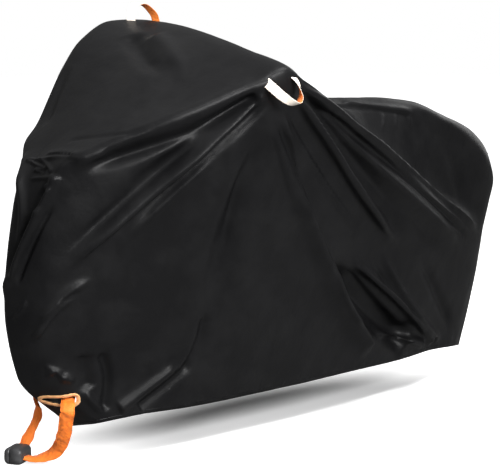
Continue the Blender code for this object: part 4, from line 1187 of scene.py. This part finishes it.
def lock_ring():
    """Turned ring and key cover: an outline spun round the end's middle."""
    bm = bmesh.new()
    end = LOCK[1][1] / 2
    outline = ((0.0, 0.0004), (0.0075, 0.0006), (0.0082, 0.0), (0.0090, 0.0002),
               (0.0104, 0.0015), (0.0128, 0.0018), (0.0142, 0.0008), (0.0146, -0.0012))
    line = [bm.verts.new((r, end + out, 0)) for r, out in outline]
    edges = [bm.edges.new((a, b)) for a, b in zip(line, line[1:])]
    bmesh.ops.spin(bm, geom=line + edges, cent=(0, 0, 0), axis=(0, 1, 0),
                   angle=2 * math.pi, steps=40, use_merge=True)
    bmesh.ops.remove_doubles(bm, verts=bm.verts, dist=0.00001)
    bmesh.ops.recalc_face_normals(bm, faces=bm.faces)
    lock_place(bm)
    return finished("lock_ring", bm, LOCK_TRIM)


lock_body, lock_trim = lock_case(), lock_ring()
print("lock:", len(lock_body.data.polygons), "and", len(lock_trim.data.polygons), "faces")

# %% [markdown]
# ## Stitches
#
# A stitch is a short fat capsule. One is modelled, an Array modifier repeats
# it to the length of a curve, and a Curve modifier lays the row along it. The
# curve is then removed, so nothing of the helper stays.

# %% Rows of stitches
def stitch_row(name, line, material, long=0.0032, gap=0.0012, fat=0.0005, closed=False):
    """One mesh of stitches along a line of places."""
    bm = bmesh.new()
    bmesh.ops.create_uvsphere(bm, u_segments=6, v_segments=4, radius=1.0)
    bmesh.ops.rotate(bm, verts=bm.verts, cent=(0, 0, 0), matrix=Matrix.Rotation(math.pi / 2, 3, "Y"))
    bmesh.ops.scale(bm, vec=(long / 2, fat, fat), verts=bm.verts)
    bmesh.ops.translate(bm, vec=(long / 2, 0, 0), verts=bm.verts)
    row = finished(name, bm, material)
    path = bpy.data.curves.new(name + "_path", "CURVE")
    path.dimensions = "3D"
    path.twist_mode = "MINIMUM"
    spline = path.splines.new("POLY")
    spline.points.add(len(line) - 1)
    for point, place in zip(spline.points, line):
        point.co = (*place, 1)
    guide = bpy.data.objects.new(name + "_path", path)
    studio.collection.objects.link(guide)
    many = row.modifiers.new("many", "ARRAY")
    many.fit_type = "FIT_LENGTH"
    many.fit_length = lengths(np.array(line))[-1] - long
    many.use_relative_offset = False
    many.use_constant_offset = True
    many.constant_offset_displace = (long + gap, 0, 0)
    bend = row.modifiers.new("along", "CURVE")
    bend.object = guide
    with_modifiers(row)
    bpy.data.objects.remove(guide)
    return row


STITCHES = {}
for name, (obj, places, up) in BINDINGS.items():
    line = places + up * (BINDING_THICK / 2 - CLOTH_THICK / 2 - 0.0001)
    STITCHES[name] = stitch_row(name + "_slot_stitches", line, THREAD)
for edge in (-1, 1):
    key = "strap_left" if edge < 0 else "strap_right"
    reach = np.abs(sleeve_outline_rows[..., 0]).max(1) * 0.90
    line = strap_places + strap_side * (edge * reach)[:, None] + strap_face * 0.0011
    STITCHES[key] = stitch_row(key + "_stitches", line, THREAD)
print("stitch rows:", {k: len(o.data.polygons) for k, o in STITCHES.items()})

# %% [markdown]
# ## Each piece in place of its solid
#
# The cloth replaces the imported shell, and each new piece replaces its solid.
# Everything rides on the one body. The sheet's flat size is its area as
# sewn, and the strap is a flat cord whose diameter is its width.

# %% Ride and replace
def stands_for(piece, node, slot, *more):
    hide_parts(node)
    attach(piece, "root")
    for extra in more:
        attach(extra, "root")


stands_for(cover, "cover_body", "coated cloth")
stands_for(near_loop, "near_loop", "loop webbing")
stands_for(far_loop, "far_loop", "loop webbing")
for name, (obj, _, _) in BINDINGS.items():
    stands_for(obj, name + "_slot_binding", "slot binding", STITCHES[name])
stands_for(sleeve, "lock_sleeve", "strap sleeve", STITCHES["strap_left"], STITCHES["strap_right"])
stands_for(lock_body, "lock_case", "lock case", lock_trim)

# %% [markdown]
# ## Floor and light
#
# The floor is one large pale plane under the lowest point. Near the cover it
# is lit by the sky alone, so the dark space under the hem is real shade. It
# also glows, for the camera's rays only, which joins it to the white backdrop
# without a line. That glow fades in from well inside the cover's footprint to
# its full strength at an oval a little larger than it, so the short soft
# shadow before the hem is partly real shade and partly painted shadow. To all
# other rays it is a dark floor, so it sends little light up under the folds.

# %% Floor
floor_height = min(corner[2] for corner in solids_box)
bm = bmesh.new()
bmesh.ops.create_grid(bm, x_segments=2, y_segments=2, size=60.0)
bmesh.ops.translate(bm, vec=(0, 0, floor_height), verts=bm.verts)
paper = bpy.data.materials.new("paper_floor")
paper.use_nodes = True
tree = paper.node_tree
shader = tree.nodes["Principled BSDF"]
shader.inputs["Roughness"].default_value = 0.9
shader.inputs["Specular IOR Level"].default_value = 0.1
rays = tree.nodes.new("ShaderNodeLightPath")
tree.links.new(mixed(tree, rays.outputs["Is Camera Ray"], (0.24, 0.24, 0.24),
                     (0.88, 0.88, 0.88)), shader.inputs["Base Color"])
where = tree.nodes.new("ShaderNodeTexCoord")
oval = tree.nodes.new("ShaderNodeMapping")
oval.vector_type = "TEXTURE"
oval.inputs["Location"].default_value = (0.43, 0.10, floor_height)
oval.inputs["Scale"].default_value = (1.05, 0.50, 1.0)
off = tree.nodes.new("ShaderNodeVectorMath")
off.operation = "LENGTH"
# painted shadow: the glow rises from 0.40 to 0.98 of the oval, so the floor is left darker the nearer it
# lies to the cover's middle
far = tree.nodes.new("ShaderNodeMapRange")
far.interpolation_type = "SMOOTHSTEP"
far.inputs["From Min"].default_value = 0.40
far.inputs["From Max"].default_value = 0.98
far.inputs["To Max"].default_value = 0.9
glow = tree.nodes.new("ShaderNodeEmission")
shown = maths(tree, "MULTIPLY", far.outputs[0], rays.outputs["Is Camera Ray"])
both = tree.nodes.new("ShaderNodeAddShader")
tree.links.new(where.outputs["Object"], oval.inputs["Vector"])
tree.links.new(oval.outputs["Vector"], off.inputs[0])
tree.links.new(off.outputs["Value"], far.inputs["Value"])
tree.links.new(shown, glow.inputs["Strength"])
tree.links.new(shader.outputs[0], both.inputs[0])
tree.links.new(glow.outputs[0], both.inputs[1])
tree.links.new(both.outputs[0], tree.nodes["Material Output"].inputs["Surface"])
floor = finished("floor", bm, paper, smooth=False)
print("floor at", round(floor_height, 3), "m")

# %% [markdown]
# The light is a studio tent: dim at the horizon and bright overhead. Crests
# and ridges mirror it at a low angle and show up, and the near side, which
# sees mostly the dim part, stays dark. The camera itself sees plain white.

# %% Air of the studio
HORIZON, OVERHEAD = 0.21, 0.52
world = bpy.data.worlds.new("studio_air")
world.use_nodes = True
studio.world = world
tree = world.node_tree
air = tree.nodes["Background"]
air.inputs["Color"].default_value = (1, 1, 1, 1)
where = tree.nodes.new("ShaderNodeTexCoord")
apart = tree.nodes.new("ShaderNodeSeparateXYZ")
tree.links.new(where.outputs["Generated"], apart.inputs[0])
height = maths(tree, "MAXIMUM", apart.outputs["Z"], 0.0)
tree.links.new(maths(tree, "MULTIPLY_ADD", maths(tree, "MULTIPLY", height, height),
                     OVERHEAD, HORIZON), air.inputs["Strength"])
seen = tree.nodes.new("ShaderNodeBackground")
seen.inputs["Color"].default_value = (1, 1, 1, 1)
seen.inputs["Strength"].default_value = 1.0
rays = tree.nodes.new("ShaderNodeLightPath")
choose = tree.nodes.new("ShaderNodeMixShader")
tree.links.new(rays.outputs["Is Camera Ray"], choose.inputs[0])
tree.links.new(air.outputs[0], choose.inputs[1])
tree.links.new(seen.outputs[0], choose.inputs[2])
tree.links.new(choose.outputs[0], tree.nodes["World Output"].inputs["Surface"])
print("air from", HORIZON, "to", HORIZON + OVERHEAD)

# %% [markdown]
# Four soft boxes help it. One on the left opens up the nose, and one in front
# lights the middle of the near side, the loops and the strap. One overhead
# rakes down over the folds, and one low on the right, behind the tail, draws
# a bright edge on each ridge that leans that way.

# %% Soft lights
def soft_box(name, place, aim, size, power, spread=180):
    lamp = bpy.data.lights.new(name, "AREA")
    lamp.shape = "RECTANGLE"
    lamp.size, lamp.size_y = size
    lamp.energy = power
    lamp.spread = math.radians(spread)
    made = bpy.data.objects.new(name, lamp)
    made.location = place
    made.rotation_euler = (Vector(aim) - Vector(place)).to_track_quat("-Z", "Y").to_euler()
    made.visible_camera = False
    studio.collection.objects.link(made)
    return made


soft_box("nose_box", (-3.2, -0.4, 1.0), (-0.2, 0.1, -0.4), (1.6, 2.0), 10)
soft_box("fill_box", (-0.7, -3.4, 1.0), (-0.1, 0.0, -0.5), (1.8, 1.2), 38, spread=65)
soft_box("rake_box", (0.5, -1.3, 2.3), (0.2, -0.1, -0.4), (2.4, 0.6), 110)
soft_box("rim_box", (3.4, 0.9, 0.6), (0.3, 0.0, -0.3), (1.2, 2.0), 11)
studio.view_settings.view_transform = "Standard"
